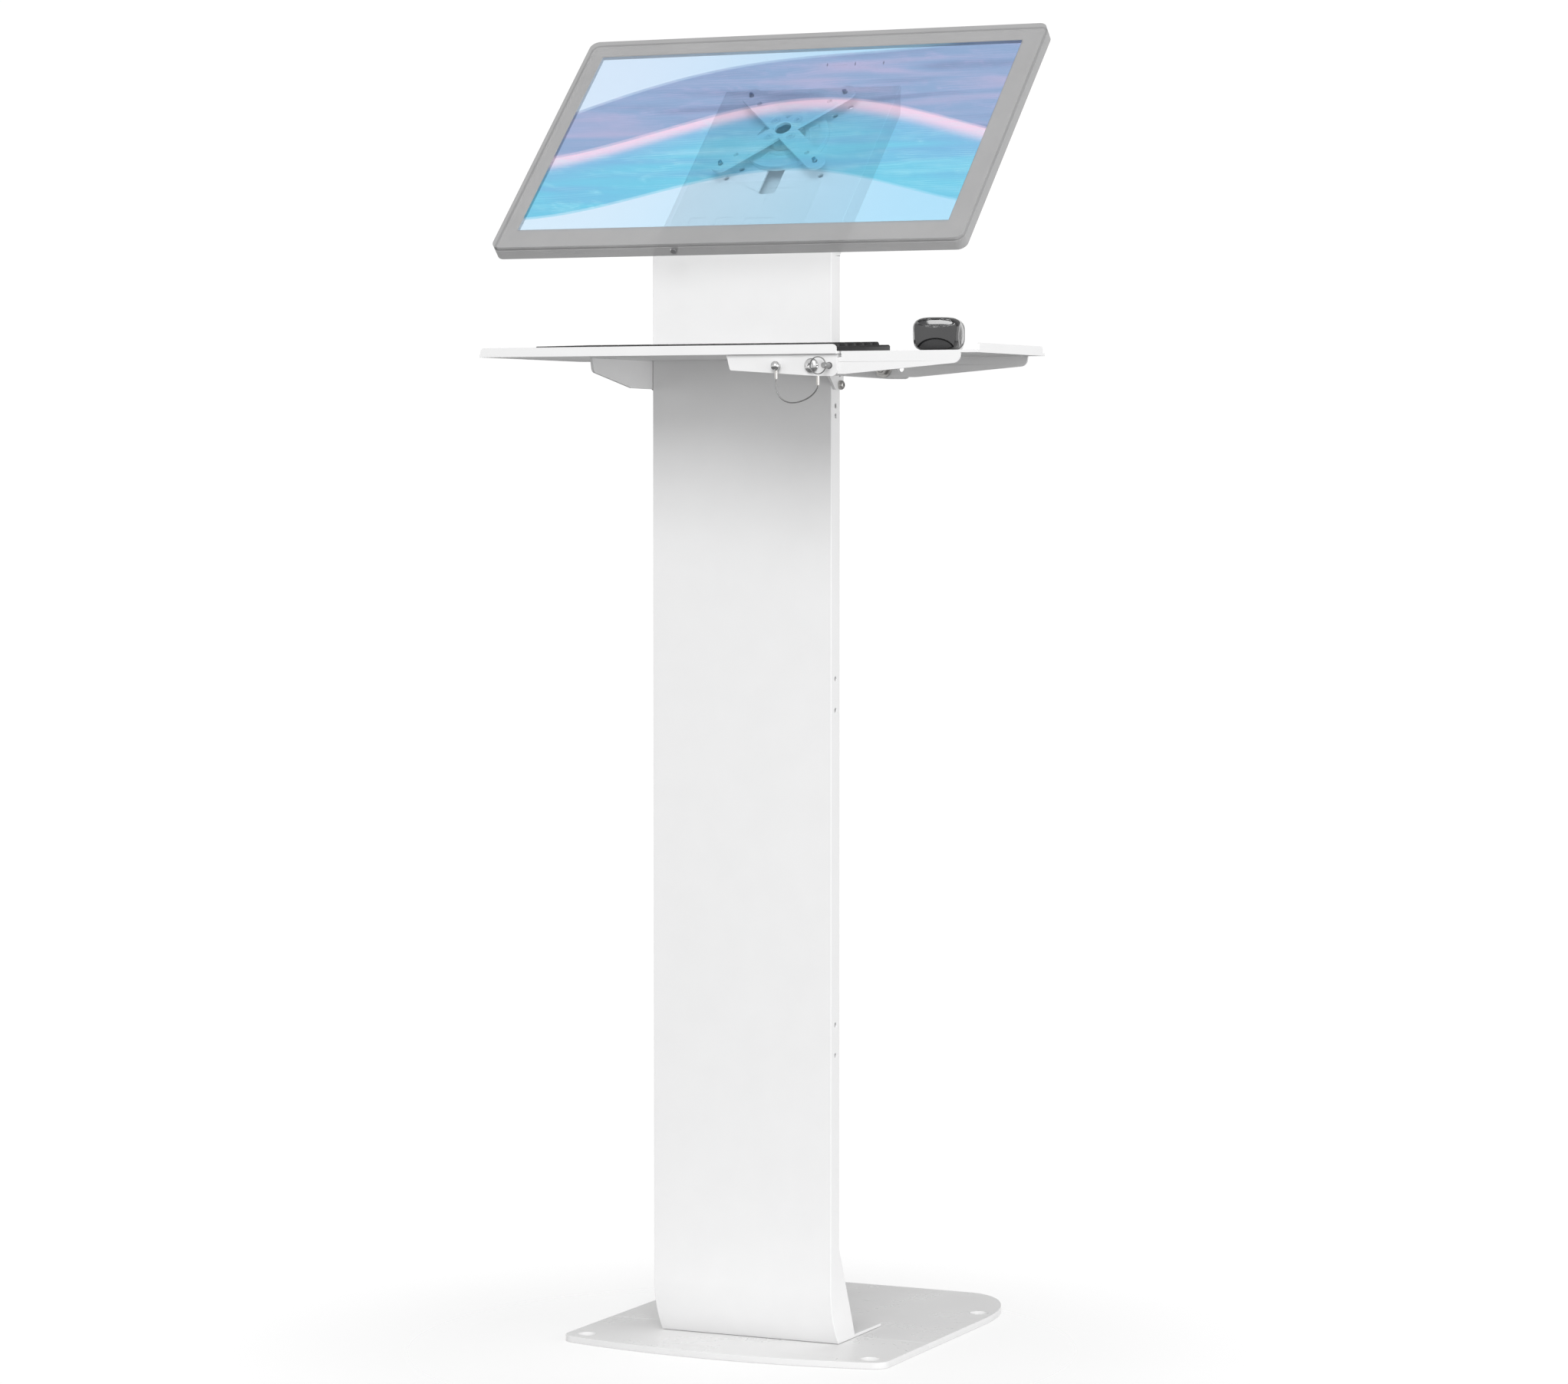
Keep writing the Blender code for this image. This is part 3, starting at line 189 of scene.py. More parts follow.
class GroupLibrary:
    """Builds each shared node group once and places it in materials."""

    def __init__(self) -> None:
        """Start with no groups."""
        self.made: dict[Group, bpy.types.NodeTree] = {}

    def tree(self, group: Group) -> bpy.types.NodeTree:
        """Return a group's tree, building it the first time."""
        if group not in self.made:
            build = {Group.GRAIN: self._grain, Group.WEAR_AND_HIGHLIGHT: self._wear_and_highlight, Group.DUST: self._dust,
                     Group.SCUFF: self._scuff}[group]
            self.made[group] = build()
        return self.made[group]

    @staticmethod
    def _start(group: Group, inputs: Sequence[tuple[str, float]], outputs: Sequence[str]
               ) -> tuple[bpy.types.NodeTree, Graph, bpy.types.Node, bpy.types.Node]:
        """Open a group with float inputs and float outputs."""
        tree = bpy.data.node_groups.new(group.value, "ShaderNodeTree")
        for name, value in inputs:
            socket = tree.interface.new_socket(name=name, in_out="INPUT", socket_type="NodeSocketFloat")
            socket.default_value = value
        for name in outputs:
            tree.interface.new_socket(name=name, in_out="OUTPUT", socket_type="NodeSocketFloat")
        graph = Graph(tree)
        return tree, graph, graph.add("NodeGroupInput"), graph.add("NodeGroupOutput")

    def _grain(self) -> bpy.types.NodeTree:
        """Powder or moulding grain: two noises, one fine and one broad, and their sum as a height."""
        tree, graph, source, sink = self._start(Group.GRAIN, (("Size", 900.0), ("Broad", 60.0)),
                                                ("Height", "Mottle"))
        place = graph.place()
        fine = graph.noise(place, source.outputs["Size"], 2.0)
        broad = graph.noise(place, source.outputs["Broad"], 4.0)
        tree.links.new(graph.scale_add(fine, 0.8, 0.5), sink.inputs["Height"])
        tree.links.new(broad, sink.inputs["Mottle"])
        return tree

    def _wear_and_highlight(self) -> bpy.types.NodeTree:
        """Edge mask, used for edge wear and for a painted edge highlight: how far the rounded normal turns
        from the true one, broken up by noise.
        """
        tree, graph, source, sink = self._start(Group.WEAR_AND_HIGHLIGHT, (("Width", 0.0008), ("Break", 220.0)), ("Edge",))
        bevel = graph.add("ShaderNodeBevel", {"Radius": source.outputs["Width"]}, samples=4)
        true = graph.add("ShaderNodeNewGeometry")
        dot = graph.add("ShaderNodeVectorMath", {0: bevel.outputs[0], 1: true.outputs["Normal"]},
                        operation="DOT_PRODUCT")
        turned = graph.math("SUBTRACT", 1.0, dot.outputs["Value"], True)
        edge = graph.math("MULTIPLY", turned, 5.0, True)
        place = graph.place()
        broken = graph.noise(place, source.outputs["Break"], 3.0)
        tree.links.new(graph.math("MULTIPLY", edge, broken, True), sink.inputs["Edge"])
        return tree

    def _dust(self) -> bpy.types.NodeTree:
        """Dust: more where the surface faces up, broken up by a cloudy noise."""
        tree, graph, source, sink = self._start(Group.DUST, (("Amount", 0.15), ("Clouds", 14.0)), ("Mask",))
        true = graph.add("ShaderNodeNewGeometry")
        split = graph.add("ShaderNodeSeparateXYZ", {0: true.outputs["Normal"]})
        up = graph.math("POWER", graph.math("MAXIMUM", split.outputs[2], 0.0), 3.0)
        place = graph.place()
        cloud = graph.noise(place, source.outputs["Clouds"], 6.0)
        amount = graph.math("MULTIPLY", up, source.outputs["Amount"])
        tree.links.new(graph.math("MULTIPLY", amount, cloud, True), sink.inputs["Mask"])
        return tree

    def _scuff(self) -> bpy.types.NodeTree:
        """Scuffs: thin lines where a stretched, warped noise crosses its middle value."""
        tree, graph, source, sink = self._start(Group.SCUFF, (("Density", 9.0), ("Stretch", 12.0)), ("Line",))
        place = graph.place()
        scale = graph.add("ShaderNodeCombineXYZ", {0: source.outputs["Density"], 1: source.outputs["Density"],
                                                   2: source.outputs["Stretch"]})
        warped = graph.add("ShaderNodeVectorMath", {0: place, 1: scale.outputs[0]}, operation="MULTIPLY")
        noise = graph.noise(warped.outputs[0], 3.0, 5.0, distort=1.2)
        near = graph.math("ABSOLUTE", graph.math("SUBTRACT", noise, 0.5))
        line = graph.math("SUBTRACT", 1.0, graph.math("MULTIPLY", near, 90.0), True)
        tree.links.new(line, sink.inputs["Line"])
        return tree

    def put(self, graph: Graph, group: Group, **values: Any) -> bpy.types.Node:
        """Place a group in a material with its own input values.

        Args:
            graph: the material's graph.
            group: which group to place.
            values: group input name to value.

        Returns:
            The group node.
        """
        node = graph.add("ShaderNodeGroup", node_tree=self.tree(group))
        for name, value in values.items():
            node.inputs[name].default_value = value
        return node


GROUPS = GroupLibrary()
Colour = tuple[float, float, float, float]


def shade(colour: Colour, factor: float, lift: float = 0.0) -> Colour:
    """Return a colour made darker or lighter, never past white."""
    return tuple(min(1.0, factor * c + lift) for c in colour[:3]) + (1.0,)


def new_material(name: str) -> tuple[bpy.types.Material, Graph, bpy.types.Node]:
    """Make an empty Principled material.

    Args:
        name: the material's name.

    Returns:
        The material, its graph and its Principled node.
    """
    material = bpy.data.materials.new(name)
    material.use_nodes = True
    graph = Graph(material.node_tree)
    return material, graph, material.node_tree.nodes["Principled BSDF"]


def soft_rays(graph: Graph) -> bpy.types.NodeSocket:
    """Return 1 for shadow and diffuse rays and 0 for the others, in a material's own graph."""
    path = graph.add("ShaderNodeLightPath")
    return graph.math("MAXIMUM", path.outputs["Is Shadow Ray"], path.outputs["Is Diffuse Ray"])


def bump(graph: Graph, shader: bpy.types.Node, height: bpy.types.NodeSocket, strength: float,
         distance: float) -> None:
    """Feed a height to the shader's Normal through a Bump node."""
    node = graph.add("ShaderNodeBump", {"Strength": strength, "Distance": distance, "Height": height})
    graph.tree.links.new(node.outputs[0], shader.inputs["Normal"])


@dataclass(frozen=True)
class PowderCoat:
    """White polyester powder coat on sheet steel: fine orange peel, faint mottling and a painted highlight
    that lightens the edges.
    """

    name: str
    colour: Colour = (0.81, 0.81, 0.812, 1.0)
    roughness: float = 0.42
    peel: float = 0.35

    def build(self) -> bpy.types.Material:
        """Return the finished material."""
        material, graph, shader = new_material(self.name)
        grain = GROUPS.put(graph, Group.GRAIN, Size=1400.0, Broad=26.0)
        wear_and_highlight = GROUPS.put(graph, Group.WEAR_AND_HIGHLIGHT, Width=0.0007, Break=160.0)
        dust = GROUPS.put(graph, Group.DUST, Amount=0.10, Clouds=18.0)
        scuff = GROUPS.put(graph, Group.SCUFF, Density=4.0, Stretch=1.3)
        base = graph.mix(graph.ramp(grain.outputs["Mottle"], ((0.35, 0.0), (0.65, 1.0))),
                         shade(self.colour, 0.992), shade(self.colour, 1.008))
        speck = graph.ramp(grain.outputs["Height"], ((0.30, 1.0), (0.36, 0.0)))
        base = graph.mix(graph.math("MULTIPLY", speck, 0.04), base, (0.55, 0.55, 0.56, 1.0))
        # Painted highlight: the edges are mixed towards a white brighter than the coat itself.
        base = graph.mix(graph.math("MULTIPLY", wear_and_highlight.outputs["Edge"], 0.35), base, (0.93, 0.93, 0.93, 1.0))
        base = graph.mix(dust.outputs["Mask"], base, (0.52, 0.50, 0.47, 1.0))
        graph.tree.links.new(base, shader.inputs["Base Color"])
        rough = graph.scale_add(grain.outputs["Mottle"], 0.10, self.roughness - 0.05)
        rough = graph.math("SUBTRACT", rough, graph.math("MULTIPLY", scuff.outputs["Line"], 0.012))
        rough = graph.math("ADD", rough, dust.outputs["Mask"], True)
        graph.tree.links.new(rough, shader.inputs["Roughness"])
        bump(graph, shader, grain.outputs["Height"], self.peel, 0.00012)
        shader.inputs["Specular IOR Level"].default_value = 0.45
        return material


@dataclass(frozen=True)
class BareSteel:
    """Bright zinc-plated or stainless steel with turning marks and slight tarnish."""

    name: str
    colour: Colour = (0.62, 0.61, 0.59, 1.0)
    roughness: float = 0.26
    rings: float = 900.0

    def build(self) -> bpy.types.Material:
        """Return the finished material."""
        material, graph, shader = new_material(self.name)
        grain = GROUPS.put(graph, Group.GRAIN, Size=2600.0, Broad=180.0)
        wear_and_highlight = GROUPS.put(graph, Group.WEAR_AND_HIGHLIGHT, Width=0.0003, Break=900.0)
        base = graph.mix(graph.ramp(grain.outputs["Mottle"], ((0.3, 0.0), (0.7, 1.0))),
                         shade(self.colour, 0.72), self.colour)
        base = graph.mix(graph.math("MULTIPLY", wear_and_highlight.outputs["Edge"], 0.8), base, (0.85, 0.85, 0.84, 1.0))
        graph.tree.links.new(base, shader.inputs["Base Color"])
        wave = graph.add("ShaderNodeTexWave", {"Vector": graph.place(), "Scale": self.rings,
                                               "Distortion": 2.5, "Detail": 2.0}, wave_type="BANDS")
        rough = graph.scale_add(wave.outputs[1], 0.10, self.roughness)
        graph.tree.links.new(graph.math("ADD", rough, graph.math("MULTIPLY", grain.outputs["Mottle"], 0.08)),
                             shader.inputs["Roughness"])
        shader.inputs["Metallic"].default_value = 1.0
        bump(graph, shader, wave.outputs[1], 0.12, 0.00005)
        return material


@dataclass(frozen=True)
class Moulded:
    """Injection-moulded plastic or rubber with a spark-eroded grain and a little dust."""

    name: str
    colour: Colour
    roughness: float = 0.45
    grain: float = 1800.0
    depth: float = 0.25
    coat: float = 0.0
    alpha: float = 1.0

    def build(self) -> bpy.types.Material:
        """Return the finished material."""
        material, graph, shader = new_material(self.name)
        grain = GROUPS.put(graph, Group.GRAIN, Size=self.grain, Broad=45.0)
        wear_and_highlight = GROUPS.put(graph, Group.WEAR_AND_HIGHLIGHT, Width=0.0005, Break=300.0)
        dust = GROUPS.put(graph, Group.DUST, Amount=0.12, Clouds=30.0)
        scuff = GROUPS.put(graph, Group.SCUFF, Density=8.0, Stretch=8.0)
        light = shade(self.colour, 1.6, 0.012)
        base = graph.mix(graph.math("MULTIPLY", grain.outputs["Mottle"], 0.35), self.colour, light)
        base = graph.mix(graph.math("MULTIPLY", wear_and_highlight.outputs["Edge"], 0.5), base, light)
        base = graph.mix(graph.math("MULTIPLY", dust.outputs["Mask"], 0.6), base, (0.45, 0.43, 0.40, 1.0))
        graph.tree.links.new(base, shader.inputs["Base Color"])
        rough = graph.scale_add(grain.outputs["Mottle"], 0.14, self.roughness - 0.07)
        rough = graph.math("ADD", rough, graph.math("MULTIPLY", scuff.outputs["Line"], 0.06), True)
        graph.tree.links.new(rough, shader.inputs["Roughness"])
        shader.inputs["Coat Weight"].default_value = self.coat
        shader.inputs["Coat Roughness"].default_value = 0.08
        shader.inputs["Alpha"].default_value = self.alpha
        bump(graph, shader, grain.outputs["Height"], self.depth, 0.00008)
        return material


@dataclass(frozen=True)
class PictureGlass:
    """Touch glass that shows a soft flowing picture and tints what stands behind it.

    Light crosses it straight, coloured by the picture; a small share is scattered, so that the picture
    keeps a body of its own against dark things.
    """

    name: str
    through: float = 0.90
    glow: float = 0.02
    half_width: float = 0.2253
    half_height: float = 0.1282

    def plane(self, graph: Graph) -> tuple[bpy.types.NodeSocket, bpy.types.NodeSocket]:
        """Return the picture's own coordinates: u to the right and v up the face, each from -1 to 1."""
        split = graph.add("ShaderNodeSeparateXYZ", {0: graph.place()})
        u = graph.math("DIVIDE", split.outputs[0], self.half_width)
        middle = (HEAD + UP * SCREEN_V) * MM
        along_y, along_z = (
            graph.math("MULTIPLY", graph.math("SUBTRACT", split.outputs[i], float(middle[i])), float(UP[i]))
            for i in (1, 2))
        return u, graph.math("DIVIDE", graph.math("ADD", along_y, along_z), self.half_height)

    @staticmethod
    def above(graph: Graph, v: bpy.types.NodeSocket, u: bpy.types.NodeSocket, level: float, tilt: float,
              swing: float, speed: float, start: float) -> bpy.types.NodeSocket:
        """Return how far v lies below the line level + tilt * u + swing * sin(speed * u + start)."""
        phase = graph.scale_add(u, speed, start)
        line = graph.scale_add(graph.math("SINE", phase), swing, level)
        line = graph.math("ADD", line, graph.math("MULTIPLY", u, tilt))
        return graph.math("SUBTRACT", line, v)

    def build(self) -> bpy.types.Material:
        """Return the finished material.

        The picture is three veils over a pale sky. Each veil lies below a wavy line, has a pale rim along
        it and darkens away from it, and fine folds run along the veil at a slant.
        """
        material, graph, shader = new_material(self.name)
        u, v = self.plane(graph)
        flat = graph.add("ShaderNodeCombineXYZ", {0: u, 1: graph.math("MULTIPLY", v, 2.2), 2: 0.0}).outputs[0]
        turned = graph.add("ShaderNodeMapping", {"Vector": flat, "Rotation": (0.0, 0.0, 0.5),
                                                 "Scale": (0.55, 1.9, 1.0)}).outputs[0]
        folds = graph.noise(turned, 1.3, 2.5, 0.40, 1.1)
        veins = graph.ramp(graph.noise(turned, 2.6, 3.0, 0.5, 1.6),
                           ((0.46, 0.0), (0.50, 1.0), (0.54, 0.0)), True)
        across = graph.scale_add(u, 0.5, 0.5)
        sky = graph.ramp(across, ((0.0, (0.66, 0.78, 0.92, 1.0)), (1.0, (0.40, 0.68, 0.88, 1.0))), True)
        first = self.above(graph, v, u, 0.80, 0.55, 0.22, 2.1, 2.6)
        veil = graph.ramp(folds, ((0.30, (0.24, 0.30, 0.48, 1.0)), (0.50, (0.30, 0.42, 0.63, 1.0)),
                                  (0.72, (0.46, 0.46, 0.66, 1.0))), True)
        veil = graph.mix(graph.math("MULTIPLY", veins, 0.35), veil, (0.55, 0.50, 0.74, 1.0))
        colour = graph.mix(graph.ramp(first, ((0.0, 0.0), (0.015, 1.0))), sky, veil)
        second = self.above(graph, v, u, 0.12, 0.02, 0.30, 2.3, 1.25)
        depth = graph.ramp(second, ((0.0, (0.86, 0.62, 0.78, 1.0)), (0.05, (0.84, 0.66, 0.82, 1.0)),
                                    (0.20, (0.24, 0.50, 0.74, 1.0)), (0.75, (0.16, 0.56, 0.76, 1.0))), True)
        sea = graph.ramp(folds, ((0.30, (0.22, 0.50, 0.74, 1.0)), (0.55, (0.20, 0.60, 0.78, 1.0)),
                                 (0.72, (0.34, 0.66, 0.84, 1.0))), True)
        body = graph.mix(graph.ramp(second, ((0.10, 0.0), (0.42, 0.8)), True), depth, sea)
        body = graph.mix(graph.math("MULTIPLY", veins, 0.30), body, (0.50, 0.84, 0.92, 1.0))
        colour = graph.mix(graph.ramp(second, ((0.0, 0.0), (0.012, 1.0))), colour, body)
        third = self.above(graph, v, u, -0.62, 0.0, 0.24, 2.6, 1.2)
        low = graph.ramp(across, ((0.0, (0.66, 0.80, 0.92, 1.0)), (1.0, (0.44, 0.72, 0.90, 1.0))), True)
        colour = graph.mix(graph.ramp(third, ((0.0, 0.0), (0.012, 1.0))), colour, low)
        graph.tree.links.new(colour, shader.inputs["Base Color"])
        graph.tree.links.new(colour, shader.inputs["Emission Color"])
        shader.inputs["Emission Strength"].default_value = self.glow
        shader.inputs["Roughness"].default_value = 0.0
        shader.inputs["IOR"].default_value = 1.0
        shader.inputs["Transmission Weight"].default_value = self.through
        smear = GROUPS.put(graph, Group.SCUFF, Density=3.0, Stretch=4.0)
        rough = graph.scale_add(smear.outputs["Line"], 0.05, 0.10)
        graph.tree.links.new(rough, shader.inputs["Coat Roughness"])
        shader.inputs["Coat Weight"].default_value = 0.12
        graph.tree.links.new(graph.math("SUBTRACT", 1.0, soft_rays(graph), True), shader.inputs["Alpha"])
        return material


@dataclass(frozen=True)
class Board:
    """Green circuit board with copper tracks under solder resist."""

    name: str
    alpha: float = 1.0

    def build(self) -> bpy.types.Material:
        """Return the finished material."""
        material, graph, shader = new_material(self.name)
        brick = graph.add("ShaderNodeTexBrick", {
            "Vector": graph.place(), "Scale": 220.0, "Mortar Size": 0.03, "Color1": (0.02, 0.15, 0.06, 1.0),
            "Color2": (0.015, 0.12, 0.05, 1.0), "Mortar": (0.10, 0.32, 0.12, 1.0)})
        graph.tree.links.new(brick.outputs[0], shader.inputs["Base Color"])
        grain = GROUPS.put(graph, Group.GRAIN, Size=1200.0, Broad=80.0)
        graph.tree.links.new(graph.scale_add(grain.outputs["Mottle"], 0.3, 0.5), shader.inputs["Roughness"])
        shader.inputs["Alpha"].default_value = self.alpha
        return material


# ---------------------------------------------------------------------------------------------
# Mesh helpers
# ---------------------------------------------------------------------------------------------


def head_point(u: Any, v: Any, n: Any) -> Points:
    """Return points of the tilted head: u right, v up the face and n out of it, in millimetres."""
    u, v, n = np.broadcast_arrays(np.asarray(u, float), np.asarray(v, float), np.asarray(n, float))
    return HEAD + u[..., None] * RIGHT + v[..., None] * UP + n[..., None] * OUT


def mesh_piece(name: str, verts: Points, faces: Sequence[Sequence[int]], material: bpy.types.Material,
               smooth: float = 32.0, millimetres: bool = True) -> bpy.types.Object:
    """Make a mesh object from arrays.

    Args:
        name: the piece's name.
        verts: vertex positions, one row each.
        faces: vertex indices of each face.
        material: the finish.
        smooth: edges sharper than this many degrees stay sharp.
        millimetres: the positions are in millimetres.

    Returns:
        The new object, at the origin.
    """
    mesh = bpy.data.meshes.new(name)
    scale = MM if millimetres else 1.0
    mesh.from_pydata((np.asarray(verts).reshape(-1, 3) * scale).tolist(), [], [list(f) for f in faces])
    mesh.validate()
    mesh.materials.append(material)
    obj = bpy.data.objects.new(name, mesh)
    bpy.context.scene.collection.objects.link(obj)
    mesh.shade_smooth()
    mesh.set_sharp_from_angle(angle=math.radians(smooth))
    return obj


def grid_faces(rows: int, cols: int, wrap: bool = True, offset: int = 0, flip: bool = False) -> np.ndarray:
    """Return the quads of a rows by cols grid of points whose columns may wrap round."""
    r = np.arange(rows - 1)[:, None]
    c = np.arange(cols if wrap else cols - 1)[None, :]
    d = (c + 1) % cols
    here, above = r * cols, (r + 1) * cols
    quads = np.stack(np.broadcast_arrays(here + c, here + d, above + d, above + c), -1)
    quads = quads.reshape(-1, 4) + offset
    return quads[:, ::-1] if flip else quads


def closed_loft(name: str, rings: Points, material: bpy.types.Material, smooth: float = 32.0,
                flip: bool = False) -> bpy.types.Object:
    """Join rings of points, all of one length, into a closed body with flat ends.

    Args:
        name: the piece's name.
        rings: array of shape (rings, points, 3) in millimetres.
        material: the finish.
        smooth: edges sharper than this many degrees stay sharp.
        flip: turn the faces round.

    Returns:
        The new object.
    """
    count, size = rings.shape[:2]
    faces = [list(f) for f in grid_faces(count, size, True, 0, flip)]
    first, last = list(range(size)), list(range((count - 1) * size, count * size))
    faces.append(first if flip else first[::-1])
    faces.append(last[::-1] if flip else last)
    return mesh_piece(name, rings, faces, material, smooth)


def tube(centre: Points, side: Points, other: Points, radius: Points) -> Points:
    """Return a circle of points about each point of a centreline.

    Args:
        centre: the centreline, one row a point.
        side: unit vectors at angle zero, one row a point.
        other: unit vectors a quarter turn on, in as many rows or one.
        radius: one column for each point of a circle, in as many rows or one.

    Returns:
        Array of shape (points, columns, 3).
    """
    turn = np.linspace(0.0, 2.0 * math.pi, radius.shape[1], endpoint=False)[None, :, None]
    circle = np.cos(turn) * side[:, None] + np.sin(turn) * other[:, None]
    return centre[:, None] + radius[..., None] * circle


def rounded_outline(x0: float, x1: float, y0: float, y1: float, radius: float, arc: int = 9) -> Points:
    """Return a counter-clockwise rounded rectangle: four quarter arcs of the given radius."""
    angles = np.linspace(0.0, math.pi / 2.0, arc)
    centres = np.array([[x1 - radius, y1 - radius], [x0 + radius, y1 - radius], [x0 + radius, y0 + radius],
                        [x1 - radius, y0 + radius]])
    turn = np.arange(4)[:, None] * math.pi / 2.0 + angles[None, :]
    ring = centres[:, None, :] + radius * np.stack([np.cos(turn), np.sin(turn)], -1)
    return ring.reshape(-1, 2)


def soften(name: str, width: float, segments: int = 2, angle: float = 32.0) -> None:
    """Weld a carried-over solid's loose triangles and round its sharp edges by a small radius.

    Args:
        name: the solid's name.
        width: the edge radius in millimetres.
        segments: how many faces round each edge.
        angle: edges flatter than this are left alone.
    """
    obj = FRAME["nodes"][name]
    weld = obj.modifiers.new("weld", "WELD")
    weld.merge_threshold = 0.00001
    if width > 0.0:
        bevel = obj.modifiers.new("edges", "BEVEL")
        bevel.width = width * MM
        bevel.segments = segments
        bevel.limit_method = "ANGLE"
        bevel.angle_limit = math.radians(angle)
        bevel.harden_normals = False
        bevel.use_clamp_overlap = True
        bevel.miter_outer = "MITER_ARC"
    normal = obj.modifiers.new("shade", "WEIGHTED_NORMAL")
    normal.keep_sharp = True
    obj.data.shade_smooth()
    obj.data.set_sharp_from_angle(angle=math.radians(40.0))


def dress(name: str, material: bpy.types.Material) -> None:
    """Give a carried-over solid its finish."""
    data = FRAME["nodes"][name].data
    data.materials.clear()
    data.materials.append(material)


# ---------------------------------------------------------------------------------------------
# See-through finishes of the display housing
# ---------------------------------------------------------------------------------------------


def thin_out(graph: Graph, shader: bpy.types.Node, alpha: float, inner: float, light: float = 0.86) -> None:
    """Make a housing see-through from outside, nearly clear inside, and kind to the light that crosses it.

    Args:
        graph: the material's graph.
        shader: its Principled node.
        alpha: opacity of the faces turned to the eye.
        inner: opacity of the walls' inner faces, those whose own normal points to the housing's middle.
        light: how much of the opacity is taken away for diffuse and shadow rays.
    """
    normal = graph.add("ShaderNodeTexCoord").outputs["Normal"]
    middle = tuple(float(c) for c in (HEAD + UP * SCREEN_V + OUT * 6.5) * MM)
    away = graph.add("ShaderNodeVectorMath", {0: graph.place(), 1: middle}, operation="SUBTRACT").outputs[0]
    facing = graph.add("ShaderNodeVectorMath", {0: normal, 1: away}, operation="DOT_PRODUCT").outputs["Value"]
    outer = graph.math("GREATER_THAN", facing, 0.0)
    inward = graph.scale_add(outer, alpha - inner, inner)
    back = graph.add("ShaderNodeNewGeometry").outputs["Backfacing"]
    kept = graph.math("SUBTRACT", 1.0, graph.math("MULTIPLY", soft_rays(graph), light), True)
    kept = graph.math("MULTIPLY", kept, graph.math("SUBTRACT", 1.0, back, True))
    graph.tree.links.new(graph.math("MULTIPLY", inward, kept), shader.inputs["Alpha"])


@dataclass(frozen=True)
class GhostShell:
    """Satin grey housing plastic that lets the fittings behind it show."""

    name: str
    colour: Colour = (0.255, 0.255, 0.258, 1.0)
    alpha: float = 0.84
    inner: float = 0.84
    roughness: float = 0.42

    def build(self) -> bpy.types.Material:
        """Return the finished material."""
        material, graph, shader = new_material(self.name)
        grain = GROUPS.put(graph, Group.GRAIN, Size=1500.0, Broad=20.0)
        dust = GROUPS.put(graph, Group.DUST, Amount=0.06, Clouds=16.0)
        base = graph.mix(graph.ramp(grain.outputs["Mottle"], ((0.35, 0.0), (0.65, 1.0))),
                         self.colour, shade(self.colour, 1.08))
        base = graph.mix(dust.outputs["Mask"], base, (0.50, 0.49, 0.47, 1.0))
        graph.tree.links.new(base, shader.inputs["Base Color"])
        rough = graph.scale_add(grain.outputs["Mottle"], 0.12, self.roughness - 0.06)
        graph.tree.links.new(rough, shader.inputs["Roughness"])
        bump(graph, shader, grain.outputs["Height"], 0.2, 0.00006)
        thin_out(graph, shader, self.alpha, self.inner)
        return material


# ---------------------------------------------------------------------------------------------
# Sub-assemblies
# ---------------------------------------------------------------------------------------------


def finish(recipe: Any) -> Any:
    return field(default_factory=recipe.build)


@dataclass
class Kit:
    """The finishes of the whole kiosk, each built once."""

    white: bpy.types.Material = finish(PowderCoat("white powder coat"))
    plate: bpy.types.Material = finish(PowderCoat("white floor plate", (0.80, 0.80, 0.80, 1.0), 0.24, 0.25))
    steel: bpy.types.Material = finish(BareSteel("zinc-plated steel"))
    coated: bpy.types.Material = finish(PowderCoat("painted screws", (0.72, 0.73, 0.74, 1.0), 0.30, 0.1))
    bright: bpy.types.Material = finish(BareSteel("polished steel", (0.78, 0.78, 0.78, 1.0), 0.12, 300.0))
    wire: bpy.types.Material = finish(BareSteel("wire rope", (0.30, 0.30, 0.30, 1.0), 0.34, 420.0))
    pin: bpy.types.Material = finish(BareSteel("pin steel", (0.40, 0.40, 0.40, 1.0), 0.28, 500.0))
    black: bpy.types.Material = finish(Moulded("black plastic", (0.010, 0.010, 0.011, 1.0), 0.38))
    keys: bpy.types.Material = finish(Moulded("key plastic", (0.014, 0.014, 0.015, 1.0), 0.52, 2600.0, 0.4))
    rubber: bpy.types.Material = finish(
        Moulded("black rubber", (0.018, 0.018, 0.018, 1.0), 0.78, 1100.0, 0.5))
    gun: bpy.types.Material = finish(
        Moulded("scanner plastic", (0.022, 0.022, 0.023, 1.0), 0.16, 2200.0, 0.06, 0.8))
    lens: bpy.types.Material = finish(
        Moulded("scanner lens", (0.012, 0.012, 0.014, 1.0), 0.10, 900.0, 0.02, 1.0))
    hood: bpy.types.Material = finish(
        Moulded("scanner hood", (0.010, 0.010, 0.011, 1.0), 0.24, 2600.0, 0.1, 0.3))
    trigger: bpy.types.Material = finish(Moulded("trigger plastic", (0.16, 0.16, 0.165, 1.0), 0.40))
    bezel: bpy.types.Material = finish(GhostShell("bezel plastic"))
    shell: bpy.types.Material = finish(GhostShell("housing plastic", inner=0.03))
    picture: bpy.types.Material = finish(PictureGlass("lit screen"))
    board: bpy.types.Material = finish(Board("circuit board", 0.02))


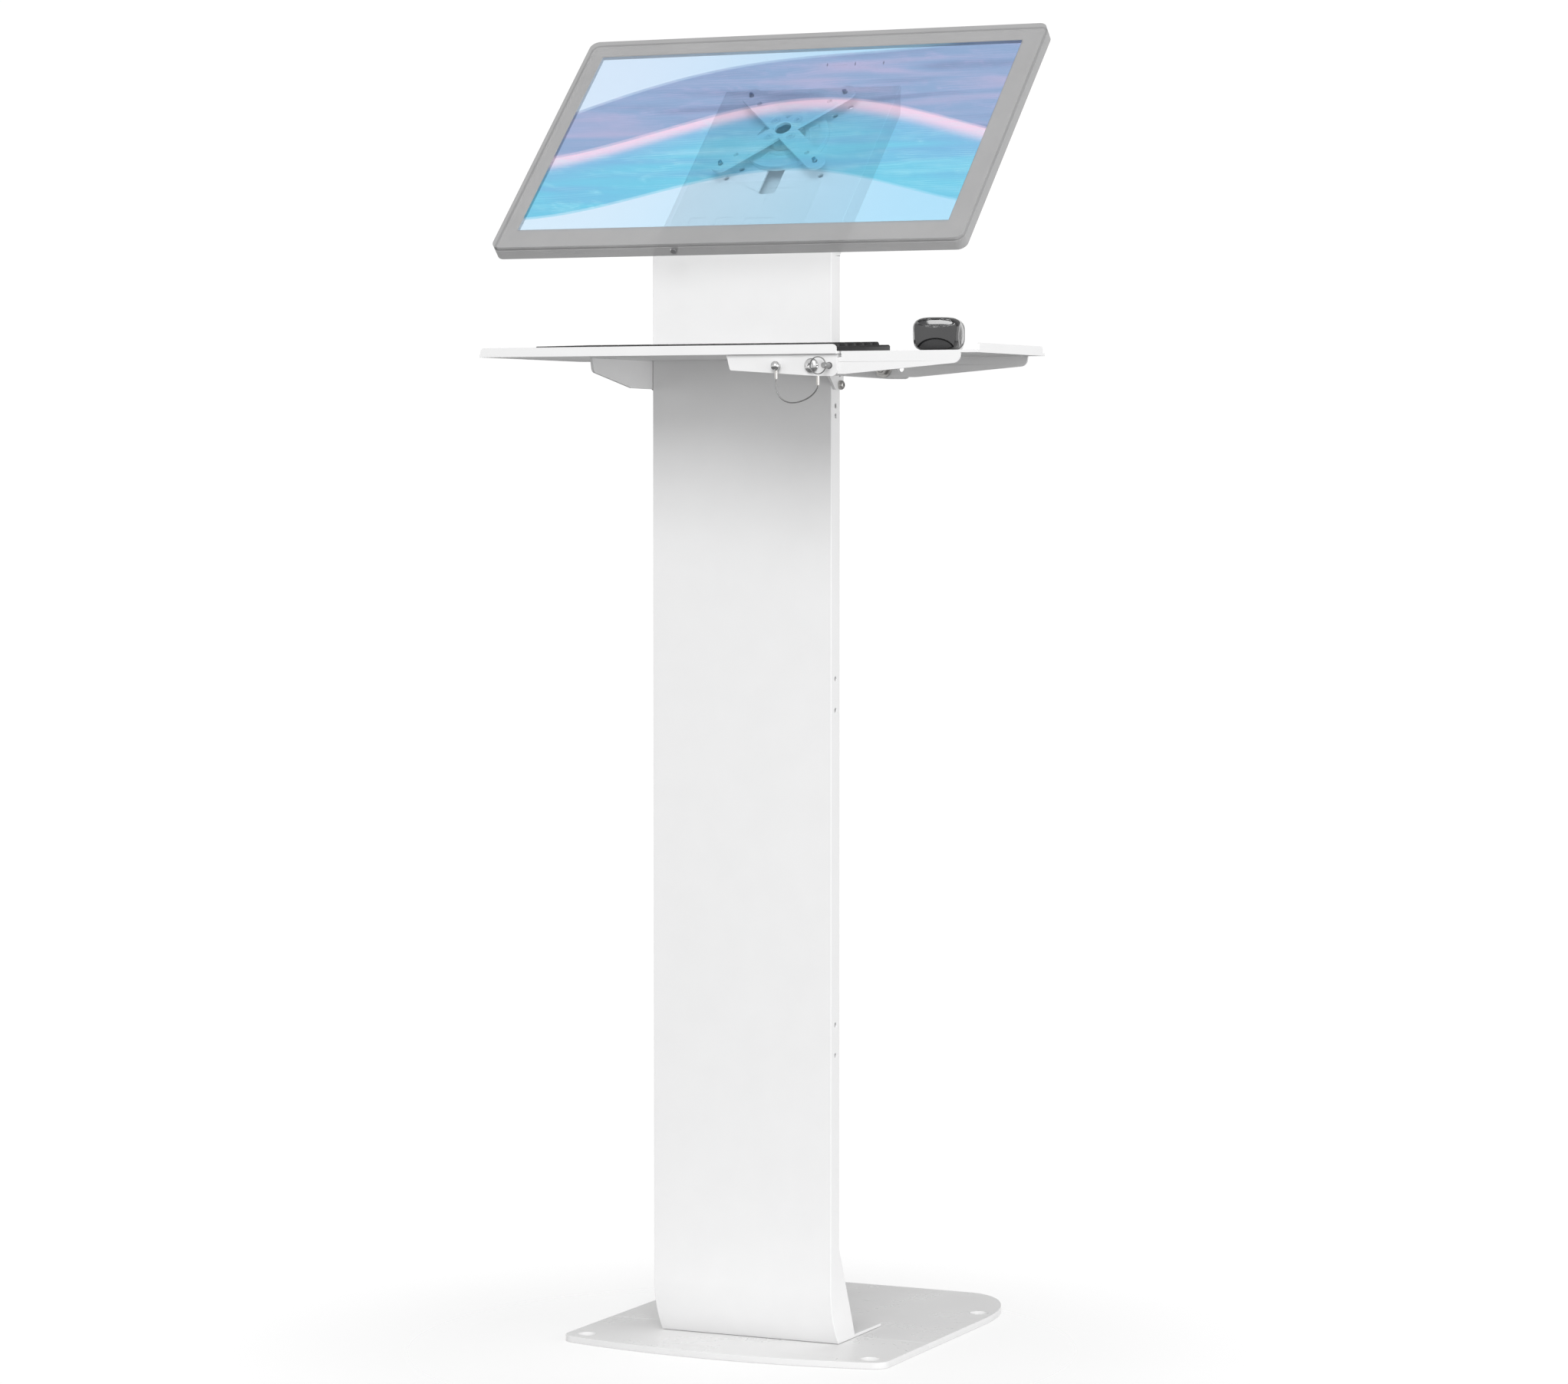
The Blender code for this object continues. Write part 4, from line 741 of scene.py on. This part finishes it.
class Assembly:
    """A named group of pieces that reports what it makes."""

    title = "assembly"

    def __init__(self, kit: Kit) -> None:
        """Keep the finishes.

        Args:
            kit: the kiosk's finishes.
        """
        self.kit = kit

    def report(self, obj: bpy.types.Object, body: str, slot: str, *nodes: str) -> bpy.types.Object:
        """Let a new piece ride its body and stand for its nodes, and log it.

        Args:
            obj: the piece.
            body: the body it moves with.
            slot: the record's material slot; not used.
            nodes: the carried-over solids that it stands for.

        Returns:
            The same piece.
        """
        if body:
            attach(obj, body)
        if nodes:
            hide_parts(*nodes)
        LOG.info("%s: %s on %s", self.title, obj.name, body or "two bodies")
        return obj

    def finish(self, names: Sequence[str], material: bpy.types.Material, edge: float,
               segments: int = 2) -> None:
        """Round and dress carried-over solids.

        Args:
            names: the solids.
            material: their finish.
            edge: the edge radius in millimetres.
            segments: faces round each edge.
        """
        for name in names:
            soften(name, edge, segments)
            dress(name, material)
            LOG.info("%s: %s dressed", self.title, name)


@dataclass
class Turned:
    """A body turned about an axis, whose radius may ripple round it for a star socket.

    Each row of the profile is (radius, height, ripple): the radius at angle a is
    radius * (1 + ripple * cos(lobes * a)).
    """

    profile: Sequence[tuple[float, float, float]]
    lobes: int = 6
    count: int = 72

    def rings(self, centre: Points, across: Points, up: Points) -> Points:
        """Return the rings about an axis.

        Args:
            centre: the point at height zero, in millimetres.
            across: unit vector at angle zero.
            up: unit vector of the axis.

        Returns:
            Array of shape (rows, count, 3).
        """
        rows = np.array(self.profile, float)
        turn = np.linspace(0.0, 2.0 * math.pi, self.count, endpoint=False)
        side = np.cross(up, across)
        radius = rows[:, :1] * (1.0 + rows[:, 2:] * np.cos(self.lobes * turn)[None, :])
        ring = radius[..., None] * (np.cos(turn)[:, None] * across + np.sin(turn)[:, None] * side)
        return centre + ring + rows[:, 1][:, None, None] * up


@dataclass
class Stand(Assembly):
    """Floor plates, column, cover and the screws that hold them."""

    kit: Kit
    title: str = "stand"
    plate_edge: float = 0.4
    sheet_edge: float = 0.7

    def build(self) -> None:
        """Dress every solid of the stand."""
        self.finish(("base_front_plate", "base_rear_plate"), self.kit.plate, self.plate_edge)
        self.finish(("column", "rear_cover", "head_cover"), self.kit.white, self.sheet_edge)
        self.finish(("foot_bolt_1", "foot_bolt_2", "foot_bolt_3", "foot_bolt_4", "cross_bar_upper",
                     "cross_bar_lower", "cover_screw_upper", "cover_screw_lower"), self.kit.steel, 0.2)
        self.finish(("power_inlet", "head_bushing"), self.kit.rubber, 0.3)


@dataclass
class Display(Assembly):
    """The swivelling display with its mount."""

    kit: Kit
    title: str = "display"
    half_width: float = 225.15
    half_height: float = 128.05
    centre_v: float = SCREEN_V
    low: float = 13.6
    high: float = 16.2
    corner: float = 1.2

    def glass(self) -> bpy.types.Object:
        """Make the touch glass: a rounded plate whose rim is ground by a small arc.

        Returns:
            The glass, standing for the CAD glass and panel.
        """
        steps = np.array([[0.5, self.low], [0.0, self.low + 0.5], [0.0, self.high - 0.3],
                          [0.09, self.high - 0.09], [0.3, self.high]])
        rings = []
        for inset, height in steps:
            line = rounded_outline(-self.half_width + inset, self.half_width - inset,
                                   self.centre_v - self.half_height + inset,
                                   self.centre_v + self.half_height - inset, self.corner)
            rings.append(head_point(line[:, 0], line[:, 1], height))
        obj = closed_loft("screen_glass", np.array(rings), self.kit.picture)
        return self.report(obj, "display", "glass", "touch_glass", "lcd_panel")

    def build(self) -> None:
        """Make the glass and dress the housing, the mount and its screws."""
        self.glass()
        self.finish(("screen_bezel",), self.kit.bezel, 1.3, 3)
        self.finish(("screen_back_shell",), self.kit.shell, 0.8)
        self.finish(("main_board",), self.kit.board, 0.0)
        self.finish(("power_button",), self.kit.trigger, 0.15)
        self.finish(("swivel_plate", "x_bracket"), self.kit.white, 0.5)
        self.finish(("swivel_hub", "swivel_retainer"), self.kit.steel, 0.2)
        self.finish(tuple(f"bracket_screw_{i}" for i in range(1, 5)), self.kit.coated, 0.12)
        self.finish(tuple(f"vesa_screw_{i}" for i in range(1, 5)), self.kit.steel, 0.12)


@dataclass
class Tray(Assembly):
    """The keyboard tray on its two arms and the folding side shelf with its pivots."""

    kit: Kit
    title: str = "tray"
    pivot: tuple[float, float] = (156.0, 936.0)
    flange_y: float = -181.55

    def star_screw(self) -> bpy.types.Object:
        """Make the front pivot's button screw: a domed head with a six-lobed socket, and its shank.

        Returns:
            The screw.
        """
        dome = [(6.9 * math.cos(a), 0.5 + 3.3 * math.sin(a), 0.0) for a in np.linspace(0.0, 1.15, 9)]
        profile = [(2.9, -12.0, 0.0), (3.0, -11.7, 0.0), (3.0, 0.0, 0.0), (6.8, 0.0, 0.0), *dome,
                   (2.35, 3.55, 0.10), (2.25, 3.4, 0.16), (2.2, 1.2, 0.16), (1.6, 0.9, 0.05)]
        rings = Turned(profile).rings(np.array([self.pivot[0], self.flange_y, self.pivot[1]]), RIGHT,
                                      FORWARD)
        obj = closed_loft("pivot_star_screw", rings, self.kit.bright, 38.0)
        return self.report(obj, "stand", "steel", "pivot_screw_front")

    def build(self) -> None:
        """Make the screw and dress the sheet parts."""
        self.star_screw()
        self.finish(("tray_plate", "hinge_frame", "arm_left", "arm_right", "wing_shelf"), self.kit.white, 0.5)
        self.finish(("arm_bolt_right", "arm_bolt_left_lower", "arm_bolt_left_upper", "pivot_nut_front",
                     "pivot_screw_rear", "pivot_nut_rear", "pivot_washer_rear"), self.kit.steel, 0.2)


@dataclass
class PinLock(Assembly):
    """The shelf's lock pin with its split ring, stud, crimps and wire."""

    kit: Kit
    title: str = "pin lock"
    ring_radius: float = 7.7
    ring_wire: float = 0.42
    pin_x: float = 173.3
    pivot_z: float = 936.0
    ring_y: float = -189.0
    stud_x: float = 122.0
    wire: float = 0.6

    def split_ring(self) -> bpy.types.Object:
        """Make the split ring: a wire that goes twice round, one turn beside the other.

        The centreline at turn t (0 to 2) is a circle whose offset along the pin eases from one side to
        the other where the turns cross.
        """
        turns = np.linspace(0.02, 1.98, 180)
        angle = 2.0 * math.pi * turns
        step = np.clip((turns - 0.85) / 0.3, 0.0, 1.0)
        side = (step * step * (3.0 - 2.0 * step) - 0.5) * 2.0 * self.ring_wire
        centre = np.stack([self.pin_x - self.ring_radius + self.ring_radius * np.cos(angle),
                           self.ring_y + side, self.pivot_z + self.ring_radius * np.sin(angle)], -1)
        out = np.stack([np.cos(angle), np.zeros_like(angle), np.sin(angle)], -1)
        rings = tube(centre, out, -FORWARD[None, :], np.full((1, 12), self.ring_wire))
        obj = closed_loft("split_ring", rings, self.kit.wire, 60.0)
        return self.report(obj, "pull_ring", "steel", "lock_ring")

    def ball_stud(self) -> bpy.types.Object:
        """Make the ball-headed stud that the wire hangs from."""
        ball = [(4.3 * math.cos(a), 4.6 + 4.1 * math.sin(a), 0.0) for a in np.linspace(-0.85, 1.5, 16)]
        profile = [(1.4, -3.4, 0.0), (1.5, -3.2, 0.0), (1.5, 0.1, 0.0), (3.4, 0.1, 0.0), (3.4, 0.9, 0.0),
                   (2.0, 1.3, 0.0), *ball]
        rings = Turned(profile, count=48).rings(np.array([self.stud_x, -181.5, self.pivot_z]), RIGHT,
                                                FORWARD)
        obj = closed_loft("ball_stud", rings, self.kit.bright, 40.0)
        return self.report(obj, "stand", "steel", "lanyard_stud")

    def route(self, count: int = 120) -> Points:
        """Return the wire's centreline in metres: one cubic curve that hangs between the two crimps."""
        start = np.array([self.stud_x + 0.4, -185.0, 923.7])
        end = np.array([self.pin_x - self.ring_radius, self.ring_y, 917.7])
        handles = np.array([start, start + [-3.0, 0.0, -33.0], end + [-3.0, 0.0, -15.0], end])
        t = np.linspace(0.0, 1.0, count)
        weights = np.stack([(1 - t) ** 3, 3 * t * (1 - t) ** 2, 3 * t * t * (1 - t), t ** 3], -1)
        return weights @ handles * MM

    def lanyard(self) -> bpy.types.Object:
        """Make the wire.

        Six strands show as a small ripple of the radius whose phase grows along the wire.

        Returns:
            The wire.
        """
        points = self.route()
        along = np.gradient(points, axis=0)
        along /= np.linalg.norm(along, axis=1, keepdims=True)
        side = np.cross(along, -FORWARD)
        side /= np.linalg.norm(side, axis=1, keepdims=True)
        other = np.cross(along, side)
        turn = np.linspace(0.0, 2.0 * math.pi, 24, endpoint=False)
        travelled = np.arange(len(points))[:, None] * 0.55
        radius = self.wire * MM * (0.97 + 0.03 * np.cos(6.0 * turn[None, :] - travelled))
        obj = closed_loft("lanyard_wire", tube(points, side, other, radius) / MM, self.kit.wire, 60.0)
        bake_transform(obj)
        return self.report(obj, "", "steel", "lanyard")

    def build(self) -> None:
        """Make the ring, the stud and the wire, and dress the pin and the crimps."""
        self.lanyard()
        self.split_ring()
        self.ball_stud()
        self.finish(("lock_pin",), self.kit.pin, 0.2)
        self.finish(("crimp_stud", "crimp_ring"), self.kit.steel, 0.15)


@dataclass
class Keyboard(Assembly):
    """The keyboard's case, keys and space bar."""

    kit: Kit
    title: str = "keyboard"
    left: float = -140.0
    right: float = 179.0
    front: float = -181.0
    rear: float = -52.0

    def top(self, y: Points) -> Points:
        """Return the height of the case's sloping top at a depth."""
        return 953.0 + (y - self.front) * 4.6 / (self.rear - self.front)

    def layout(self) -> tuple[Points, Points]:
        """Return every key's (x0, x1, y0, y1) and the space bar's.

        Six rows share the depth and each row's widths are in key pitches; the space bar is marked by a
        negative width.
        """
        pitch = (self.right - self.left - 14.0) / 17.0
        depth = (self.rear - self.front - 16.0) / 6.0
        rows = ([1.5, 1.25, 1.25, -6.0, 1.25, 1.25, 1.5, 1.0, 1.0, 1.0],
                [2.25] + [1.0] * 10 + [1.75] + [1.0] * 3,
                [1.75] + [1.0] * 11 + [1.25] + [1.0] * 3, [1.5] + [1.0] * 14 + [1.5], [1.0] * 17, [1.0] * 17)
        keys, bars = [], []
        for row, widths in enumerate(rows):
            signed = np.array(widths) * pitch
            end = self.left + 7.0 + np.cumsum(np.abs(signed))
            y0 = self.front + 8.0 + row * depth
            cells = np.stack([end - np.abs(signed) + 0.9, end - 0.9, np.full_like(end, y0 + 0.9),
                              np.full_like(end, y0 + depth - 0.9)], -1)
            keys.append(cells[signed > 0.0])
            bars.append(cells[signed < 0.0])
        return np.concatenate(keys), np.concatenate(bars)

    def caps(self, name: str, cells: Points, body: str, node: str) -> bpy.types.Object:
        """Make key caps: each is a stack of rounded rectangles that narrows upwards and dips in the middle.

        Args:
            name: the piece's name.
            cells: footprints, one row each.
            body: the body the caps ride on.
            node: the solid they stand for.

        Returns:
            One piece holding all the caps.
        """
        levels = np.array([[0.0, -1.2], [0.0, 0.6], [0.5, 2.0], [1.0, 2.75], [1.4, 3.0], [2.2, 2.92],
                           [4.2, 2.72]])
        turn = np.linspace(0.0, 2.0 * math.pi, 28, endpoint=False)
        square = np.stack([np.sign(np.cos(turn)) * np.abs(np.cos(turn)) ** 0.35,
                           np.sign(np.sin(turn)) * np.abs(np.sin(turn)) ** 0.35], -1)
        centre = np.stack([cells[:, :2].mean(1), cells[:, 2:].mean(1)], -1)
        half = np.stack([cells[:, 1] - cells[:, 0], cells[:, 3] - cells[:, 2]], -1) / 2.0
        size = half[:, None] - levels[None, :, :1]
        flat = centre[:, None, None] + size[:, :, None] * square[None, None]
        height = self.top(flat[..., 1]) + levels[None, :, 1:2]
        verts = np.concatenate([flat, height[..., None]], -1)
        count, rows, cols = verts.shape[:3]
        faces: list[list[int]] = []
        for i in range(count):
            base = i * rows * cols
            faces += [list(f) for f in grid_faces(rows, cols, True, base)]
            faces.append(list(range(base, base + cols))[::-1])
            faces.append(list(range(base + (rows - 1) * cols, base + rows * cols)))
        obj = mesh_piece(name, verts, faces, self.kit.keys, 50.0)
        return self.report(obj, body, "black_plastic", node)

    def build(self) -> None:
        """Make the caps and dress the case."""
        keys, bar = self.layout()
        self.caps("key_caps", keys, "keys", "key_block")
        self.caps("space_cap", bar, "space_bar", "space_bar")
        self.finish(("keyboard_case",), self.kit.black, 0.5)


@dataclass
class Scanner(Assembly):
    """The hand scanner that lies on the side shelf."""

    kit: Kit
    title: str = "scanner"
    x: float = 252.0
    y: float = -122.0
    floor: float = 949.2
    turn: float = 15.0
    sides: int = 192
    ridge: float = 0.22
    visor: tuple[float, float, float] = (25.6, 17.4, 3.5)
    hood: tuple[float, float, float] = (0.6, 18.2, 11.6)

    def sections(self) -> Points:
        """Return (depth, half width, half height, middle height) rows along the body, eased."""
        known = np.array([[0.0, 20.0, 14.2, 15.4], [3.0, 21.3, 15.0, 15.6], [12.0, 23.2, 15.6, 15.8],
                          [26.0, 23.6, 15.6, 15.8], [38.0, 21.8, 14.8, 15.2], [52.0, 15.0, 13.2, 13.6],
                          [76.0, 13.5, 12.6, 12.8], [96.0, 13.0, 12.2, 12.4], [99.0, 11.6, 11.0, 12.3],
                          [100.0, 9.0, 8.6, 12.3]])
        depth = np.concatenate([np.linspace(0.0, 96.0, 120), np.linspace(96.5, 100.0, 8)])
        rows = [depth] + [np.interp(depth, known[:, 0], known[:, i]) for i in (1, 2, 3)]
        kernel = np.array([1.0, 4.0, 6.0, 4.0, 1.0]) / 16.0
        for row in rows[1:]:
            row[2:-10] = np.convolve(row, kernel, "same")[2:-10]
        return np.stack(rows, -1)

    def outline(self, wide: Points, tall: Points, rise: Points) -> Points:
        """Return superellipse rings in (x, z): both axes are powers of the cosine and the sine."""
        turn = np.linspace(0.0, 2.0 * math.pi, self.sides, endpoint=False)
        c = np.sign(np.cos(turn)) * np.abs(np.cos(turn)) ** 0.55
        s = np.sign(np.sin(turn)) * np.abs(np.sin(turn)) ** 0.62
        return np.stack([self.x + wide[:, None] * c, self.floor + rise[:, None] + tall[:, None] * s], -1)

    @staticmethod
    def dip(x: Points, z: Points, zc: float, a: float, b: float, depth: float) -> Points:
        """Return a smooth-edged hollow of the given depth inside an ellipse of half axes a and b."""
        inside = np.clip((1.0 - (x / a) ** 2 - ((z - zc) / b) ** 2) / 0.22, 0.0, 1.0)
        return depth * inside * inside * (3.0 - 2.0 * inside)

    @staticmethod
    def waist(height: Points) -> Points:
        """Return how far the flanks draw in at a height above the shelf: 1.3 mm at most, at 13 mm."""
        return 1.3 * np.clip(1.0 - ((height - 13.0) / 9.0) ** 2, 0.0, 1.0)

    def swing(self, points: Points, way: float = 1.0) -> Points:
        """Turn points about the front end's upright line, or back again with way at -1."""
        turn = way * math.radians(self.turn)
        c, s = math.cos(turn), math.sin(turn)
        local = points - np.array([self.x, self.y, 0.0])
        x, y = local[..., 0], local[..., 1]
        return np.stack([self.x + c * x - s * y, self.y + s * x + c * y, points[..., 2]], -1)

    def shell(self) -> bpy.types.Object:
        """Make the body: rings along its length, and shrinking rings that close the hollowed front."""
        rows = self.sections()
        plan = self.outline(rows[:, 1], rows[:, 2], rows[:, 3])
        depth = np.repeat(rows[:, :1], self.sides, 1)
        x, z = plan[..., 0] - self.x, plan[..., 1]
        local = z - self.floor
        slot = (np.abs(x) < 6.1) & (np.abs(depth - 66.0) < 8.6) & (local > 14.0)
        z = np.where(slot, np.minimum(z, self.floor + 18.4), z)
        pad = np.clip(1.2 - ((depth - 16.0) / 11.0) ** 2 - ((local - 15.0) / 11.0) ** 2, 0.0, 1.0)
        pad = np.clip(pad / 0.35, 0.0, 1.0) * (np.abs(x) > 15.0)
        waist = self.waist(local) * np.clip(1.0 - depth / 14.0, 0.0, 1.0)
        ribbed = np.clip(1.0 - ((depth - 16.0) / 5.5) ** 2 - ((local - 16.0) / 6.0) ** 2, 0.0, 1.0)
        ridges = self.ridge * np.sqrt(ribbed) * np.sin(2.0 * math.pi * (local + 0.5 * depth) / 3.0)
        x = x + np.sign(x) * (-0.7 * pad - waist + ridges)
        body = np.stack([self.x + x, self.y + depth, z], -1)
        scale = np.linspace(0.985, 0.02, 56)[::-1, None, None]
        middle = np.array([self.x, self.floor + rows[0, 3]])
        face = middle + (plan[0][None] - middle) * scale
        fx, fz = face[..., 0] - self.x, face[..., 1] - self.floor
        reach = 1.6 * (1.0 - scale[..., 0] ** 4)
        hollow = self.dip(fx, fz, *self.visor, 1.5) + self.dip(fx, fz, *self.hood, 3.2)
        front = np.stack([face[..., 0], self.y - reach + hollow + 0.4, face[..., 1]], -1)
        front[..., 0] -= np.sign(fx) * self.waist(fz) * scale[..., 0] ** 6 * (np.abs(fx) > 11.0)
        rings = self.swing(np.concatenate([front, body]))
        obj = closed_loft("scanner_shell", rings, self.kit.gun, 50.0, flip=True)
        obj.data.materials.append(self.kit.lens)
        obj.data.materials.append(self.kit.hood)
        centres = np.zeros(len(obj.data.polygons) * 3)
        obj.data.polygons.foreach_get("center", centres)
        centres = self.swing(centres.reshape(-1, 3) / MM, -1.0)
        px, py, pz = centres[:, 0] - self.x, centres[:, 1] - self.y, centres[:, 2] - self.floor
        visor, hood = (
            (py < 3.6) & ((px / half) ** 2 + ((pz - middle_z) / tall) ** 2 < 0.93)
            for middle_z, half, tall in (self.visor, self.hood))
        index = np.where(visor, 1, np.where(hood, 2, 0)).astype(np.int32)
        obj.data.polygons.foreach_set("material_index", index)
        return self.report(obj, "scanner", "black_plastic", "scanner_body", "scanner_window")

    def build(self) -> None:
        """Make the shell and dress the trigger."""
        self.shell()
        self.finish(("scanner_trigger",), self.kit.trigger, 0.6)


# ---------------------------------------------------------------------------------------------
# Studio
# ---------------------------------------------------------------------------------------------


@dataclass(frozen=True)
class SoftLight:
    """A square area light aimed at a point."""

    name: str
    place: tuple[float, float, float]
    aim: tuple[float, float, float]
    size: float
    power: float

    def build(self) -> None:
        """Add the light to the scene."""
        data = bpy.data.lights.new(self.name, "AREA")
        data.shape = "SQUARE"
        data.size = self.size
        data.energy = self.power
        obj = bpy.data.objects.new(self.name, data)
        obj.location = self.place
        obj.rotation_euler = (Vector(self.aim) - Vector(self.place)).to_track_quat("-Z", "Y").to_euler()
        bpy.context.scene.collection.objects.link(obj)


@dataclass
class Studio:
    """Camera, floor, world and lights."""

    lens: float = 105.43
    place: tuple[float, float, float] = (1.8738, -3.9592, 0.8470)
    turn: tuple[float, float, float] = (87.163, 0.0, 24.795)
    sky: float = 1.02
    below: float = 0.20
    over: float = 0.72
    behind: float = 0.20
    lights: Sequence[SoftLight] = (
        SoftLight("key", (1.6, -4.3, 3.4), (0.0, 0.0, 0.65), 2.4, 134.0),
        SoftLight("right", (3.4, -0.6, 0.8), (0.0, 0.1, 0.4), 1.8, 44.0),
    )

    def camera(self) -> None:
        """Add the camera."""
        data = bpy.data.cameras.new("camera")
        data.sensor_fit = "HORIZONTAL"
        data.sensor_width = 36.0
        data.lens = self.lens
        data.clip_start = 0.05
        data.clip_end = 50.0
        obj = bpy.data.objects.new("camera", data)
        obj.location = self.place
        obj.rotation_euler = tuple(math.radians(a) for a in self.turn)
        bpy.context.scene.collection.objects.link(obj)
        bpy.context.scene.camera = obj

    def floor(self) -> None:
        """Add a pale round floor that fades out, so that no horizon shows."""
        turn = np.linspace(0.0, 2.0 * math.pi, 96, endpoint=False)
        radii = np.linspace(0.02, 3.0, 24)
        flat = radii[:, None, None] * np.stack([np.cos(turn), np.sin(turn)], -1)[None]
        verts = np.concatenate([flat, np.full(flat.shape[:2] + (1,), -0.0006)], -1)
        faces = [list(f) for f in grid_faces(len(radii), len(turn), True)] + [list(range(len(turn)))]
        material, graph, shader = new_material("floor paint")
        distance = graph.add("ShaderNodeVectorMath", {0: graph.place()}, operation="LENGTH").outputs["Value"]
        shade = graph.noise(graph.place(), 3.0, 3.0)
        graph.tree.links.new(graph.ramp(shade, ((0.3, 0.93), (0.7, 0.95))), shader.inputs["Base Color"])
        shader.inputs["Roughness"].default_value = 0.7
        fade = graph.ramp(graph.math("DIVIDE", distance, 3.0), ((0.08, 0.30), (0.20, 0.0)), True)
        graph.tree.links.new(fade, shader.inputs["Alpha"])
        obj = mesh_piece("floor", verts, faces, material, millimetres=False)

    def world(self) -> None:
        """Fill the surroundings with white light, weaker from below, overhead and above behind."""
        world = bpy.data.worlds.new("studio")
        world.use_nodes = True
        graph = Graph(world.node_tree)
        split = graph.add("ShaderNodeSeparateXYZ", {0: graph.add("ShaderNodeTexCoord").outputs["Generated"]})
        height = graph.scale_add(split.outputs[2], 0.5, 0.5)
        low = ((0.0, self.below), (0.36, self.below), (0.40, 1.0), (0.58, 1.0))
        front = graph.ramp(height, (*low, (0.68, self.over), (1.0, self.over)))
        rear = graph.ramp(height, (*low, (0.64, self.behind), (1.0, self.behind)))
        level = graph.mix(graph.ramp(split.outputs[1], ((0.0, 0.0), (0.35, 1.0))), front, rear)
        back = world.node_tree.nodes["Background"]
        world.node_tree.links.new(level, back.inputs["Color"])
        back.inputs["Strength"].default_value = self.sky
        bpy.context.scene.world = world

    def build(self) -> None:
        """Set everything up."""
        self.camera()
        self.floor()
        self.world()
        for light in self.lights:
            light.build()
        bpy.context.scene.view_settings.view_transform = "Standard"
        bpy.context.scene.cycles.transparent_max_bounces = 24


def main() -> None:
    """Build the kiosk and its studio."""
    logging.basicConfig(level=logging.INFO, format="%(name)s %(message)s")
    FRAME.update(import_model())
    Studio().build()
    kit = Kit()
    for maker in (PinLock, Stand, Display, Tray, Keyboard, Scanner):
        maker(kit).build()


if __name__ == "__main__":
    main()
